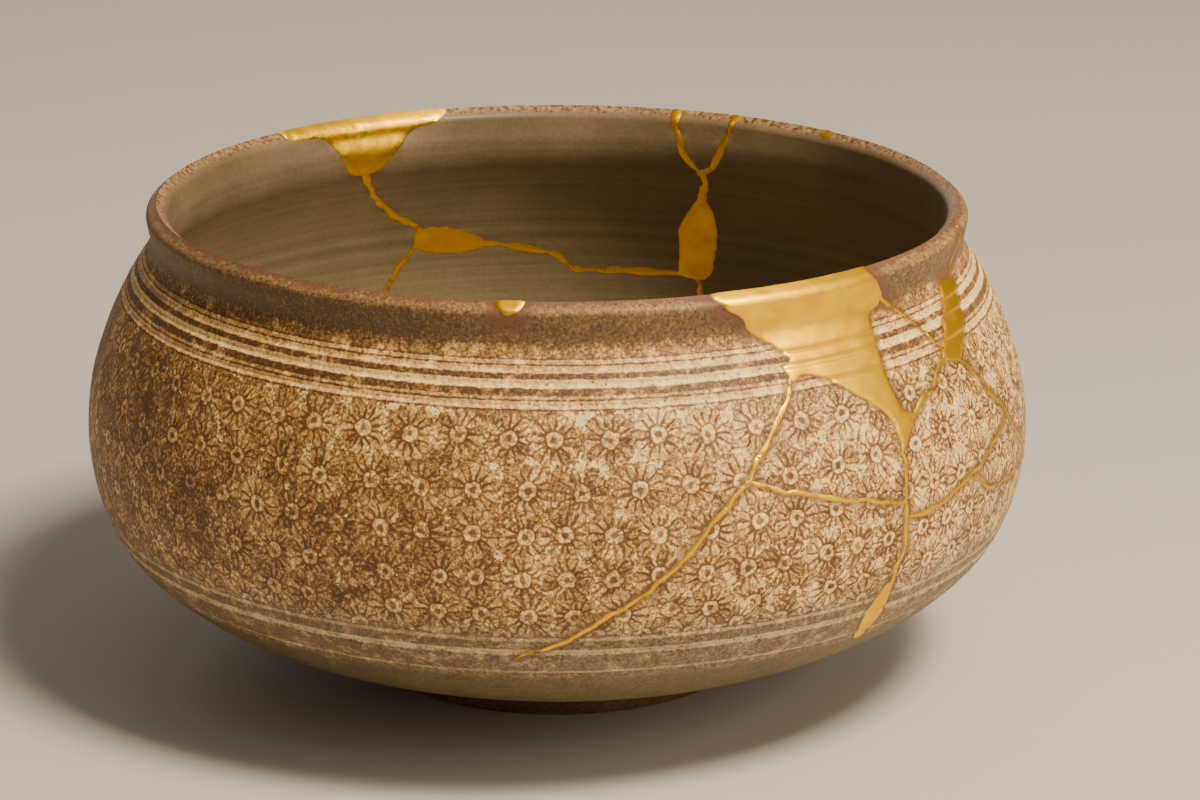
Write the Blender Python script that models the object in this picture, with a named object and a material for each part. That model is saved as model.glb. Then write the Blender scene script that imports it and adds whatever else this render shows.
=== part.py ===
"""A low round stoneware bowl that was broken, and mended with gold lacquer.

The bowl stands on its foot ring at z = 0 with its axis on Z, and its front faces -Y.
The wall is drawn flat first, as a map: across it runs the angle round the bowl, and down it
runs the depth, in hundredths of the way along the wall from the crest of the rim to the root
of the foot. Cracks and lost patches are outlines on that map. They cut it into sherds and
gold, and each region is then folded round the bowl and given the wall's thickness, so every
sherd and every mend is a closed solid.
"""

import math
from bisect import bisect_right
from collections import namedtuple

import bmesh
import bpy
from mathutils import Vector
from mathutils.geometry import delaunay_2d_cdt

MM = 0.001

# Driving sizes, in millimetres
HEIGHT = 91.5
BELLY_RADIUS = 90.0
BELLY_HEIGHT = 46.5
RIM_RADIUS = 75.8
LIP_THICKNESS = 3.8
LIP_ROUNDING = 1.7
LIP_HEIGHT = 6.5
NECK_SWEEP = 2.4
NECK_DEPTH = 0.6
BELLY_WALL = 5.0
LOWER_WALL = 5.4
FOOT_RADIUS = 37.5
FOOT_HEIGHT = 6.0
FOOT_WIDTH = 4.5
FOOT_EDGE = 0.6
FOOT_HOLLOW = 4.2
FLOOR_THICKNESS = 5.2

# The foot joins the bowl a little outside its own radius, and the wall map ends above it
FOOT_FILLET = 0.6
ROOT_RADIUS = FOOT_RADIUS + FOOT_FILLET

# How the gold sits: a gap to the clay all round, and a skin just proud of it
GAP = 0.3
GOLD_PROUD = 0.12

# Facets
FACETS_ROUND = 56
CURVE_STEPS = 24

# The map's first angle, on the left side where the wall is whole, and its mean scale
SEAM_FREE_ANGLE = -90.0
FULL_TURN = 360.0
MM_PER_DEGREE = math.radians((RIM_RADIUS + BELLY_RADIUS) / 2)

# The lip's side: how far down its middle is, and how far that draws in, as shares of the neck's
LIP_SIDE = 0.65
LIP_TAPER = 0.33

# Shoulder and underside as shares: of the way out to the belly, and of the way up or down to it
SHOULDER = ((0.18, 0.91), (0.415, 0.775), (0.675, 0.58), (0.925, 0.305))
UNDERSIDE = ((0.965, 0.74), (0.883, 0.53), (0.74, 0.355), (0.557, 0.216), (0.354, 0.108))

# Floor and underside: radii as shares of the wall's lower end, and how flat the floor starts
FLOOR_RINGS = (0.8, 0.55, 0.28)
FLOOR_CURVE = 2.4
UNDER_RING = 0.45
UNDER_CURVE = 1.2

# Turned grooves: depth of the middle, then width and cut in millimetres
Groove = namedtuple("Groove", "middle width cut")
GROOVES = (
    Groove(12.4, 1.4, 0.35),
    Groove(15.0, 1.5, 0.40),
    Groove(18.6, 1.2, 0.30),
    Groove(63.5, 1.5, 0.35),
    Groove(69.6, 2.0, 0.25),
)

# Depths of the rings: the plain ones outside, and all those inside, which are also rings outside
OUTER_RINGS = (1.2, 2.6, 7.4, 9.8, 26.5, 36.5, 46.0, 55.0, 77.5, 88.5)
INNER_RINGS = (1.2, 2.6, 7.4, GROOVES[2].middle, 26.5, 46.0, GROOVES[3].middle, 77.5, 88.5)

# Cracks, as (angle, depth) along each, with the gold's half width
Crack = namedtuple("Crack", "half_width route")
CRACKS = (
    Crack(0.55, ((29.7, 16.2), (28.8, 20.1), (26.2, 24.8), (23.2, 30.2), (21.8, 33.4))),
    Crack(0.45, ((21.8, 33.4), (17.6, 39.6), (13.8, 45.7), (8.4, 53.2), (1.7, 59.9), (-5.0, 65.3))),
    Crack(0.40, ((21.8, 33.4), (26.0, 35.7), (31.9, 38.5), (39.1, 41.6), (43.4, 42.8))),
    Crack(0.50, ((44.2, 32.4), (43.6, 40.5), (43.3, 47.9), (43.2, 52.7), (42.2, 59.4))),
    Crack(0.45, ((46.6, 28.5), (50.2, 25.7), (53.0, 23.7), (56.8, 20.4))),
    Crack(0.40, ((47.6, 6.7), (51.0, 10.0), (53.8, 14.5), (57.6, 21.2))),
    Crack(0.45, ((58.8, 21.0), (63.2, 27.9), (68.4, 36.2), (72.1, 41.2), (79.0, 48.7), (84.0, 54.0))),
    Crack(0.45, ((68.4, 36.2), (61.1, 40.6), (57.3, 42.6), (49.0, 45.7), (43.4, 45.8))),
    Crack(0.40, ((57.3, 42.6), (62.0, 47.3), (70.0, 48.5), (79.0, 48.7))),
    Crack(0.45, ((67.6, 9.6), (70.6, 6.3), (73.4, 2.7), (74.6, -1.0))),
    Crack(0.90, ((212.6, 9.6), (208.0, 19.5), (203.4, 25.3), (199.0, 30.2))),
    Crack(0.70, ((200.4, 32.2), (203.2, 37.1), (206.5, 49.1), (210.0, 58.9))),
    Crack(0.80, ((193.0, 33.0), (186.1, 34.3), (180.6, 36.4), (176.8, 39.9), (169.4, 40.3), (160.0, 40.1))),
    Crack(0.80, ((159.6, 39.3), (158.6, 47.1), (156.0, 56.9))),
    Crack(0.90, ((157.2, 20.6), (156.3, 15.4), (156.6, 11.4))),
    Crack(0.80, ((156.5, 12.6), (158.6, 9.4), (160.2, 6.2), (161.2, -1.0))),
    Crack(0.80, ((156.5, 12.6), (153.7, 9.2), (152.0, 6.4), (150.2, -1.0))),
)

# Lost patches filled with gold, as (angle, depth) round each outline
Fill = namedtuple("Fill", "what outline")
FILLS = (
    Fill("large patch at the rim, right of the front", (
        (20.3, -1.0), (20.5, 1.1), (22.3, 3.5), (24.4, 5.1), (25.4, 7.7), (29.2, 11.7),
        (30.6, 14.1), (29.1, 14.9), (29.6, 18.3), (31.8, 16.6), (35.6, 18.9), (38.9, 22.6),
        (43.1, 27.5), (43.9, 34.2), (45.6, 31.4), (47.5, 27.9), (45.2, 26.9), (44.5, 23.6),
        (44.3, 18.4), (44.8, 14.3), (45.4, 9.2), (47.7, 8.0), (48.4, 6.1), (46.8, 3.5),
        (45.9, 1.0), (45.9, -1.0),
    )),
    Fill("patch on the right of the neck", (
        (64.9, 8.4), (62.4, 12.1), (60.6, 14.3), (55.8, 21.0), (57.6, 22.4), (60.3, 22.6),
        (63.2, 19.9), (66.3, 16.2), (67.0, 13.8), (70.6, 10.0),
    )),
    Fill("leaf low on the right", (
        (42.8, 57.5), (41.6, 57.8), (40.1, 61.3), (39.5, 64.8), (40.8, 72.1), (42.2, 72.3),
        (42.9, 64.8),
    )),
    Fill("chip at the front of the rim", (
        (-8.2, -1.0), (-8.1, 0.6), (-7.0, 2.7), (-5.3, 2.7), (-4.1, 0.6), (-4.0, -1.0),
    )),
    Fill("patch at the back left of the rim", (
        (197.2, -1.0), (197.9, 1.6), (200.6, 3.4), (203.0, 4.0), (207.6, 8.3), (210.8, 11.2),
        (214.6, 10.7), (216.4, 8.6), (220.7, 3.2), (227.2, 2.8), (228.0, -1.0),
    )),
    Fill("blob below it", (
        (201.6, 28.1), (201.0, 34.0), (196.0, 35.7), (190.5, 34.6), (190.7, 31.8), (196.0, 28.1),
    )),
    Fill("leaf at the back", (
        (157.3, 18.1), (156.2, 21.6), (155.7, 27.5), (156.2, 33.4), (157.6, 41.5),
        (162.4, 41.2), (162.0, 35.3), (161.9, 28.5), (160.2, 24.0),
    )),
    Fill("chip at the back of the rim", (
        (132.2, -1.0), (132.3, 1.5), (133.3, 2.3), (134.4, 1.4), (134.5, -1.0),
    )),
)

# One spot (angle, depth) inside each piece tells which region of the map it is
Seed = namedtuple("Seed", "node spot")
CLAY_PIECES = (
    Seed("bowl_body", (-45.0, 39.3)),
    Seed("sherd_front", (36.0, 32.4)),
    Seed("sherd_shoulder", (49.0, 17.7)),
    Seed("sherd_rim_right", (58.0, 7.9)),
    Seed("sherd_side_large", (55.0, 32.4)),
    Seed("sherd_side_small", (67.0, 42.7)),
    Seed("sherd_back_large", (180.0, 19.6)),
    Seed("sherd_back_small", (156.0, 3.9)),
)
GOLD_PIECES = (
    Seed("gold_front", (36.0, 11.8)),
    Seed("gold_back", (212.0, 2.0)),
    Seed("gold_chip_front", (-6.0, 1.4)),
    Seed("gold_chip_back", (133.3, 1.0)),
)

# Regions of the map smaller than this, in square millimetres, are the gap's own corners
SMALLEST_SHERD = 6.0

# How far a grown outline's corner may reach, as a share of how far its sides moved
LONGEST_MITRE = 2.5

# Looks
STONEWARE = ("stoneware", (0.36, 0.22, 0.11), 0.55, 0.0)
GOLD = ("gold_lacquer", (0.83, 0.53, 0.12), 0.32, 1.0)
SMOOTH_BELOW = math.radians(34)

# Points on the map closer than this are one point, and the decimals that tell two apart
SAME_POINT = 0.001
MAP_DECIMALS = 2


def smooth_curve(knots, steps):
    """A smooth curve through the knots, with the same number of steps between each two."""
    ends = [2 * knots[0] - knots[1], *knots, 2 * knots[-1] - knots[-2]]
    points = []
    for before, here, ahead, after in zip(ends, ends[1:], ends[2:], ends[3:]):
        for step in range(steps):
            t = step / steps
            points.append(
                here
                + (ahead - before) * (t / 2)
                + (2 * before - 5 * here + 4 * ahead - after) * (t * t / 2)
                + (3 * here - before - 3 * ahead + after) * (t ** 3 / 2)
            )
    points.append(knots[-1].copy())
    return points


def outward_normals(points):
    """Unit normals of a profile that runs from the rim down the outside, as (radius, z)."""
    normals = []
    for index in range(len(points)):
        along = points[min(index + 1, len(points) - 1)] - points[max(index - 1, 0)]
        normals.append(Vector((-along.y, along.x)).normalized())
    return normals


def outer_knots():
    """The outside profile as (radius, z), from the crest of the rim to just above the foot."""
    lip_radius = RIM_RADIUS + LIP_THICKNESS / 2
    neck_z = HEIGHT - LIP_HEIGHT - NECK_SWEEP
    knots = [
        Vector((RIM_RADIUS, HEIGHT)),
        Vector((lip_radius, HEIGHT - LIP_ROUNDING)),
        Vector((lip_radius - NECK_DEPTH * LIP_TAPER, HEIGHT - LIP_HEIGHT * LIP_SIDE)),
        Vector((lip_radius - NECK_DEPTH, HEIGHT - LIP_HEIGHT)),
        Vector((lip_radius, neck_z)),
    ]
    for out, up in SHOULDER:
        radius = lip_radius + out * (BELLY_RADIUS - lip_radius)
        knots.append(Vector((radius, BELLY_HEIGHT + up * (neck_z - BELLY_HEIGHT))))
    knots.append(Vector((BELLY_RADIUS, BELLY_HEIGHT)))
    for out, up in UNDERSIDE:
        radius = ROOT_RADIUS + out * (BELLY_RADIUS - ROOT_RADIUS)
        knots.append(Vector((radius, FOOT_HEIGHT + up * (BELLY_HEIGHT - FOOT_HEIGHT))))
    return knots


def inner_knots(outside):
    """The inside profile, knot for knot: the wall grows from the lip's thickness to the floor's."""
    normals = outward_normals(outside)
    belly = len(outside) - 1 - len(UNDERSIDE)
    knots = [outside[0].copy(), outside[1] - Vector((LIP_THICKNESS, 0.0))]
    for index in range(2, len(outside)):
        if index <= belly:
            share = (index - 2) / (belly - 2)
            wall = LIP_THICKNESS + share * (BELLY_WALL - LIP_THICKNESS)
        else:
            share = (index - belly) / len(UNDERSIDE)
            wall = BELLY_WALL + share * (LOWER_WALL - BELLY_WALL)
        knots.append(outside[index] - normals[index] * wall)
    return knots


def lengths_along(points):
    """The length of the way from the first point to each point."""
    lengths = [0.0]
    for here, ahead in zip(points, points[1:]):
        lengths.append(lengths[-1] + (ahead - here).length)
    return lengths


OUTSIDE = smooth_curve(outer_knots(), CURVE_STEPS)
INSIDE = smooth_curve(inner_knots(outer_knots()), CURVE_STEPS)
DEPTHS = lengths_along(OUTSIDE)
LAST_DEPTH = DEPTHS[-1]
MM_PER_DEPTH = LAST_DEPTH / 100


def on_curve(values, depth):
    """The value of a list kept step for step with DEPTHS, at any depth."""
    index = min(max(bisect_right(DEPTHS, depth) - 1, 0), len(DEPTHS) - 2)
    share = (depth - DEPTHS[index]) / (DEPTHS[index + 1] - DEPTHS[index])
    return values[index].lerp(values[index + 1], share)


Face = namedtuple("Face", "depths points normals")


def wall_face(curve, sign, cuts):
    """One face of the wall as rings: their depths, (radius, z) places and outward normals.

    cuts maps a ring's depth to how far it is cut in, for the grooves.
    """
    depths = sorted(cuts)
    normals = [normal * sign for normal in outward_normals(curve)]
    ring_normals = [on_curve(normals, depth).normalized() for depth in depths]
    ring_normals[0] = Vector((0.0, 1.0))
    points = [
        on_curve(curve, depth) - normal * cuts[depth]
        for depth, normal in zip(depths, ring_normals)
    ]
    return Face(depths, points, ring_normals)


def outer_cuts():
    """The outside's rings: plain ones, and three for each groove, at its edges and its bed."""
    cuts = {0.0: 0.0, LAST_DEPTH: 0.0}
    for ring in OUTER_RINGS:
        cuts[ring * MM_PER_DEPTH] = 0.0
    for groove in GROOVES:
        middle = groove.middle * MM_PER_DEPTH
        cuts[middle - groove.width / 2] = 0.0
        cuts[middle] = groove.cut
        cuts[middle + groove.width / 2] = 0.0
    return cuts


def inner_cuts():
    """The inside's rings, which are all plain."""
    cuts = {0.0: 0.0, LAST_DEPTH: 0.0}
    for ring in INNER_RINGS:
        cuts[ring * MM_PER_DEPTH] = 0.0
    return cuts


def fold(face, spot, proud):
    """Folds a spot of the map round the bowl, onto a face of the wall."""
    depth = min(max(spot.y, 0.0), LAST_DEPTH)
    index = min(bisect_right(face.depths, depth) - 1, len(face.depths) - 2)
    share = (depth - face.depths[index]) / (face.depths[index + 1] - face.depths[index])
    place = face.points[index].lerp(face.points[index + 1], share)
    place += face.normals[index].lerp(face.normals[index + 1], share).normalized() * proud
    return around(place, math.radians(spot.x / MM_PER_DEGREE))


def around(place, angle):
    """A (radius, z) place turned to an angle from the front, in metres."""
    return Vector((place.x * math.sin(angle), -place.x * math.cos(angle), place.y)) * MM


def on_map(angle, depth):
    """An angle in degrees and a depth in hundredths as a spot of the map, in millimetres."""
    return Vector((angle * MM_PER_DEGREE, depth * MM_PER_DEPTH))


def left_of(direction):
    """A flat direction turned a quarter turn to the left."""
    return Vector((-direction.y, direction.x))


def ribbon(crack, extra):
    """The outline of a crack's gold, made wider and longer by extra."""
    spots = [on_map(*point) for point in crack.route]
    half = crack.half_width + extra
    left, right = [], []
    for index, spot in enumerate(spots):
        behind = (spot - spots[index - 1]).normalized() if index > 0 else None
        ahead = (spots[index + 1] - spot).normalized() if index < len(spots) - 1 else None
        along = ((behind or ahead) + (ahead or behind)).normalized()
        end = along * extra * (bool(behind) - bool(ahead))
        side = left_of(along) * half / along.dot(ahead or behind)
        left.append(spot + end + side)
        right.append(spot + end - side)
    return left + right[::-1]


def area_of(outline):
    """The signed area inside a flat outline."""
    return sum(a.x * b.y - b.x * a.y for a, b in zip(outline, outline[1:] + outline[:1])) / 2


def grown(outline, extra):
    """An outline moved outwards by extra on every side."""
    sign = -1 if area_of(outline) > 0 else 1
    result = []
    for index, spot in enumerate(outline):
        behind = (spot - outline[index - 1]).normalized()
        ahead = (outline[(index + 1) % len(outline)] - spot).normalized()
        side = (left_of(behind) + left_of(ahead)).normalized()
        stretch = 1 / max(side.dot(left_of(ahead)), 1 / LONGEST_MITRE)
        result.append(spot + side * (sign * extra * stretch))
    return result


def inside(spot, outline):
    """Whether a spot of the map is inside an outline."""
    odd = False
    for a, b in zip(outline, outline[1:] + outline[:1]):
        if (a.y > spot.y) != (b.y > spot.y):
            odd ^= spot.x < a.x + (b.x - a.x) * (spot.y - a.y) / (b.y - a.y)
    return odd


def gold_outlines(extra):
    """All cracks' and fills' outlines on the map, grown by extra."""
    outlines = [ribbon(crack, extra) for crack in CRACKS]
    for fill in FILLS:
        outline = [on_map(*point) for point in fill.outline]
        outlines.append(grown(outline, extra) if extra else outline)
    return outlines


def with_crossings(outline, depths):
    """An outline with a point added wherever it crosses one of the depths."""
    result = []
    for a, b in zip(outline, outline[1:] + outline[:1]):
        result.append(a)
        crossed = [(depth - a.y) / (b.y - a.y) for depth in depths if (a.y - depth) * (b.y - depth) < 0]
        result += [a.lerp(b, share) for share in sorted(crossed)]
    return result


GOLD_OUTLINES = gold_outlines(0.0)
CUT_OUTLINES = gold_outlines(GAP)
MAP_LEFT = SEAM_FREE_ANGLE * MM_PER_DEGREE
MAP_WIDTH = FULL_TURN * MM_PER_DEGREE


def map_triangles(face, crossed):
    """Triangles of the whole map, with an edge along every ring and every outline.

    Outlines get a point at each crossed depth, so that both faces of a cut have the same points.
    """
    spots, edges = [], []
    for depth in face.depths:
        first = len(spots)
        for step in range(FACETS_ROUND + 1):
            spots.append(Vector((MAP_LEFT + MAP_WIDTH * step / FACETS_ROUND, depth)))
        edges += [(first + step, first + step + 1) for step in range(FACETS_ROUND)]
    for outline in GOLD_OUTLINES + CUT_OUTLINES:
        first = len(spots)
        spots += with_crossings(outline, crossed)
        count = len(spots) - first
        edges += [(first + k, first + (k + 1) % count) for k in range(count)]
    points, _, triangles, *_ = delaunay_2d_cdt(spots, edges, [], 0, SAME_POINT)
    return points, triangles


def join_map_ends(points):
    """For each point, the point that stands for it once the map's right end meets its left."""
    starts = {}
    for index, point in enumerate(points):
        if abs(point.x - MAP_LEFT) < SAME_POINT:
            starts[round(point.y, MAP_DECIMALS)] = index
    stands_for = list(range(len(points)))
    for index, point in enumerate(points):
        if abs(point.x - MAP_LEFT - MAP_WIDTH) < SAME_POINT:
            stands_for[index] = starts[round(point.y, MAP_DECIMALS)]
    return stands_for


def triangle_area(points, triangle):
    """A map triangle's area."""
    a, b, c = (points[index] for index in triangle)
    return abs((b - a).cross(c - a)) / 2


def regions(points, triangles, kept):
    """Sets of triangles that share edges, as lists, of the triangles for which kept is true."""
    stands_for = join_map_ends(points)
    owners = {}
    chosen = []
    for triangle in triangles:
        centre = sum((points[index] for index in triangle), Vector((0.0, 0.0))) / 3
        if centre.y > 0 and kept(centre):
            chosen.append(triangle)
    for number, triangle in enumerate(chosen):
        for a, b in zip(triangle, triangle[1:] + triangle[:1]):
            edge = frozenset((stands_for[a], stands_for[b]))
            owners.setdefault(edge, []).append(number)
    neighbours = [[] for _ in chosen]
    for pair in owners.values():
        if len(pair) == 2:
            neighbours[pair[0]].append(pair[1])
            neighbours[pair[1]].append(pair[0])
    found, seen = [], set()
    for start in range(len(chosen)):
        if start in seen:
            continue
        seen.add(start)
        group, waiting = [], [start]
        while waiting:
            number = waiting.pop()
            group.append(chosen[number])
            for other in neighbours[number]:
                if other not in seen:
                    seen.add(other)
                    waiting.append(other)
        found.append(group)
    return found


def is_gold(spot):
    """Whether a spot of the map is in gold."""
    return any(inside(spot, outline) for outline in GOLD_OUTLINES)


def is_clay(spot):
    """Whether a spot of the map is in clay, clear of the gap round the gold."""
    return not any(inside(spot, outline) for outline in CUT_OUTLINES)


Sheet = namedtuple("Sheet", "face points stands_for clay gold")


def make_sheet(face, crossed):
    """One face's map, cut into its clay and its gold regions."""
    points, triangles = map_triangles(face, crossed)
    clay = [
        group for group in regions(points, triangles, is_clay)
        if sum(triangle_area(points, triangle) for triangle in group) > SMALLEST_SHERD
    ]
    gold = regions(points, triangles, is_gold)
    return Sheet(face, points, join_map_ends(points), clay, gold)


def region_at(sheet, groups, seed):
    """The region of a sheet that holds a seed point."""
    spot = on_map(*seed)
    for group in groups:
        for triangle in group:
            if inside(spot, [sheet.points[index] for index in triangle]):
                return group
    raise ValueError(f"no region at {seed}")


def boundary_loops(sheet, group):
    """Closed runs of point numbers along the region's edges."""
    joined = sheet.stands_for
    steps = set()
    for triangle in group:
        for a, b in zip(triangle, triangle[1:] + triangle[:1]):
            steps.add((joined[a], joined[b]))
    onward = {a: b for a, b in steps if (b, a) not in steps}
    loops = []
    while onward:
        start, here = onward.popitem()
        loop = [start]
        while here != start:
            loop.append(here)
            here = onward.pop(here)
        loops.append(loop)
    return loops


def map_step(a, b):
    """The way from one spot to another, the short way round the bowl."""
    across = (b.x - a.x + MAP_WIDTH / 2) % MAP_WIDTH - MAP_WIDTH / 2
    return math.hypot(across, b.y - a.y)


def same_spot(a, b):
    """Whether two spots are one, allowing for both having been moved a little."""
    return map_step(a, b) < 2 * SAME_POINT


def matched_loops(outer, outer_loop, inner, inner_loops):
    """The inner loop that follows the outer one, and both turned to start at one spot."""
    for start, number in enumerate(outer_loop):
        for loop in inner_loops:
            for other_start, other in enumerate(loop):
                if same_spot(outer.points[number], inner.points[other]):
                    return (
                        outer_loop[start:] + outer_loop[:start],
                        loop[other_start:] + loop[:other_start],
                    )
    raise ValueError("an outer edge has no inner edge")


def piece_mesh(name, outer, outer_group, inner, inner_group, proud):
    """A closed mesh of one region, with the cut faces that run through the wall."""
    mesh = bmesh.new()
    verts = {}

    def vert(sheet, number):
        number = sheet.stands_for[number]
        spot = sheet.points[number]
        side = "crest" if spot.y < SAME_POINT else id(sheet)
        key = (side, round(spot.x, MAP_DECIMALS)) if side == "crest" else (side, number)
        if key not in verts:
            verts[key] = mesh.verts.new(fold(sheet.face, spot, proud))
        return verts[key]

    def face(*corners):
        ring = [corner for k, corner in enumerate(corners) if corner != corners[k - 1]]
        if len(set(ring)) > 2:
            mesh.faces.new(ring)

    for triangle in outer_group:
        face(*(vert(outer, number) for number in reversed(triangle)))
    for triangle in inner_group:
        face(*(vert(inner, number) for number in triangle))

    inner_loops = boundary_loops(inner, inner_group)
    for outer_loop in boundary_loops(outer, outer_group):
        if all(outer.points[number].y > LAST_DEPTH - SAME_POINT for number in outer_loop):
            close_base(mesh, outer, outer_loop, inner, vert)
            continue
        loop, other = matched_loops(outer, outer_loop, inner, inner_loops)
        cut_face(outer, loop, inner, other, vert, face)
    bmesh.ops.recalc_face_normals(mesh, faces=mesh.faces)
    data = bpy.data.meshes.new(name)
    mesh.to_mesh(data)
    mesh.free()
    return data


def cut_face(outer, loop, inner, other, vert, face):
    """Faces through the wall between an outer and an inner loop that run the same way on the map.

    Both loops nearly always have the same points. Where only one has a point, a triangle takes it in.
    """
    here = outer.points[loop[0]]
    step = step_in = 0
    while step < len(loop) or step_in < len(other):
        number, number_in = loop[step % len(loop)], other[step_in % len(other)]
        ahead, ahead_in = loop[(step + 1) % len(loop)], other[(step_in + 1) % len(other)]
        a, b = vert(outer, number), vert(outer, ahead)
        a_in, b_in = vert(inner, number_in), vert(inner, ahead_in)
        spot, spot_in = outer.points[ahead], inner.points[ahead_in]
        if same_spot(spot, spot_in):
            if outer.points[number].y < spot.y:
                face(a, b, b_in)
                face(a, b_in, a_in)
            else:
                face(a, b, a_in)
                face(b, b_in, a_in)
            here = spot
            step += 1
            step_in += 1
        elif map_step(here, spot) < map_step(here, spot_in):
            face(a, b, a_in)
            step += 1
        else:
            face(a, b_in, a_in)
            step_in += 1


def base_profiles():
    """The (radius, z) rings below the wall map: round the foot, and over the bowl's floor."""
    floor_z = FOOT_HOLLOW + FLOOR_THICKNESS
    wall_end, wall_end_inside = OUTSIDE[-1], INSIDE[-1]
    foot_inside = FOOT_RADIUS - FOOT_WIDTH
    under = [
        Vector((
            ROOT_RADIUS + UNDER_RING * (wall_end.x - ROOT_RADIUS),
            FOOT_HEIGHT + UNDER_RING ** UNDER_CURVE * (wall_end.y - FOOT_HEIGHT),
        )),
        Vector((ROOT_RADIUS, FOOT_HEIGHT)),
        Vector((FOOT_RADIUS, FOOT_HEIGHT - FOOT_EDGE)),
        Vector((FOOT_RADIUS - FOOT_EDGE / 3, FOOT_EDGE)),
        Vector((FOOT_RADIUS - FOOT_EDGE, 0.0)),
        Vector((foot_inside + FOOT_EDGE, 0.0)),
        Vector((foot_inside, FOOT_EDGE)),
        Vector((foot_inside - FOOT_EDGE, FOOT_HOLLOW - FOOT_EDGE)),
    ]
    floor = [
        Vector((wall_end_inside.x * share, floor_z + (wall_end_inside.y - floor_z) * share ** FLOOR_CURVE))
        for share in FLOOR_RINGS
    ]
    return under, Vector((0.0, FOOT_HOLLOW)), floor, Vector((0.0, floor_z))


def close_base(mesh, outer, outer_loop, inner, vert):
    """Foot, underside and floor: rings joined to the wall's lower edge, with a fan at each centre."""
    angle_of = {number: outer.points[number].x for number in outer_loop}
    numbers = sorted(outer_loop, key=angle_of.get)
    inner_numbers = [
        number for number, spot in enumerate(inner.points)
        if spot.y > LAST_DEPTH - SAME_POINT and inner.stands_for[number] == number
    ]
    inner_numbers.sort(key=lambda number: inner.points[number].x)
    under, under_centre, floor, floor_centre = base_profiles()
    angles = [math.radians(angle_of[number] / MM_PER_DEGREE) for number in numbers]
    for rings, centre, edge in (
        (under, under_centre, [vert(outer, number) for number in numbers]),
        (floor, floor_centre, [vert(inner, number) for number in inner_numbers]),
    ):
        for place in rings:
            ring = [mesh.verts.new(around(place, angle)) for angle in angles]
            for k in range(len(ring)):
                mesh.faces.new((edge[k - 1], edge[k], ring[k], ring[k - 1]))
            edge = ring
        hub = mesh.verts.new(around(centre, 0.0))
        for k in range(len(edge)):
            mesh.faces.new((edge[k - 1], edge[k], hub))


def make_material(name, colour, roughness, metallic):
    """A plain Principled material."""
    material = bpy.data.materials.new(name)
    material.use_nodes = True
    shader = material.node_tree.nodes["Principled BSDF"]
    shader.inputs["Base Color"].default_value = (*colour, 1.0)
    shader.inputs["Roughness"].default_value = roughness
    shader.inputs["Metallic"].default_value = metallic
    return material


def make_pieces(outer, inner, seeds, outer_groups, inner_groups, look, proud):
    """One object for each seed point, all with the same look."""
    for name, spot in seeds:
        data = piece_mesh(
            name,
            outer, region_at(outer, outer_groups, spot),
            inner, region_at(inner, inner_groups, spot),
            proud,
        )
        data.materials.append(make_material(f"{look[0]}_{name}", *look[1:]))
        data.shade_smooth()
        data.set_sharp_from_angle(angle=SMOOTH_BELOW)
        bpy.context.scene.collection.objects.link(bpy.data.objects.new(name, data))
        print(name, len(data.polygons), "faces")


def main():
    for old in list(bpy.data.objects):
        bpy.data.objects.remove(old)
    crossed = sorted({*outer_cuts(), *inner_cuts()})
    outer = make_sheet(wall_face(OUTSIDE, 1, outer_cuts()), crossed)
    inner = make_sheet(wall_face(INSIDE, -1, inner_cuts()), crossed)
    make_pieces(outer, inner, CLAY_PIECES, outer.clay, inner.clay, STONEWARE, 0.0)
    make_pieces(outer, inner, GOLD_PIECES, outer.gold, inner.gold, GOLD, GOLD_PROUD)
    print("clay regions", len(outer.clay), len(inner.clay), "of", len(CLAY_PIECES))
    print("gold regions", len(outer.gold), len(inner.gold), "of", len(GOLD_PIECES))


main()
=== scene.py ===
# %% [markdown]
# The frame holds the bowl's measured solids. This lesson dresses them: it redraws each sherd and
# each gold mend as a fine closed mesh in the same place, and gives every surface its finish.
# Everything in the meshes is worked out in millimetres and turned to metres at the very end.

import math

import bpy
import numpy as np
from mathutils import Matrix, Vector, noise
from mathutils.geometry import delaunay_2d_cdt
from mathutils.kdtree import KDTree


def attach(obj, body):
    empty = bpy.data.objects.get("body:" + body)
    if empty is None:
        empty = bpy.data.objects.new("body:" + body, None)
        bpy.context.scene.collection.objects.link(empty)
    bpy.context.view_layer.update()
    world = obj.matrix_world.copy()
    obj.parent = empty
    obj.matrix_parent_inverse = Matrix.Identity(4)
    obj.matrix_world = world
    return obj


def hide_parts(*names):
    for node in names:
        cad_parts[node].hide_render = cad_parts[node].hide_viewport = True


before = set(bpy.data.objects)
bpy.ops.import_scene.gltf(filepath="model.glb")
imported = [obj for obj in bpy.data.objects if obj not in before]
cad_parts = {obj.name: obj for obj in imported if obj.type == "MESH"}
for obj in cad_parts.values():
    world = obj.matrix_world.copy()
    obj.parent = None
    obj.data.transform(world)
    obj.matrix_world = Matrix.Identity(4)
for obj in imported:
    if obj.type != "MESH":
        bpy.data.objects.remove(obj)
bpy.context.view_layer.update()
MM = 0.001

# %% [markdown]
# The bowl was thrown on a wheel, so its form is one profile turned about the Z axis. A few sizes
# fix that profile: the rim, the neck drawn in under it, the wide belly, and the foot. They are
# the same sizes as in the part's source. A smooth curve through a dozen knots gives the outside,
# and the inside follows it at the wall's thickness.

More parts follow.
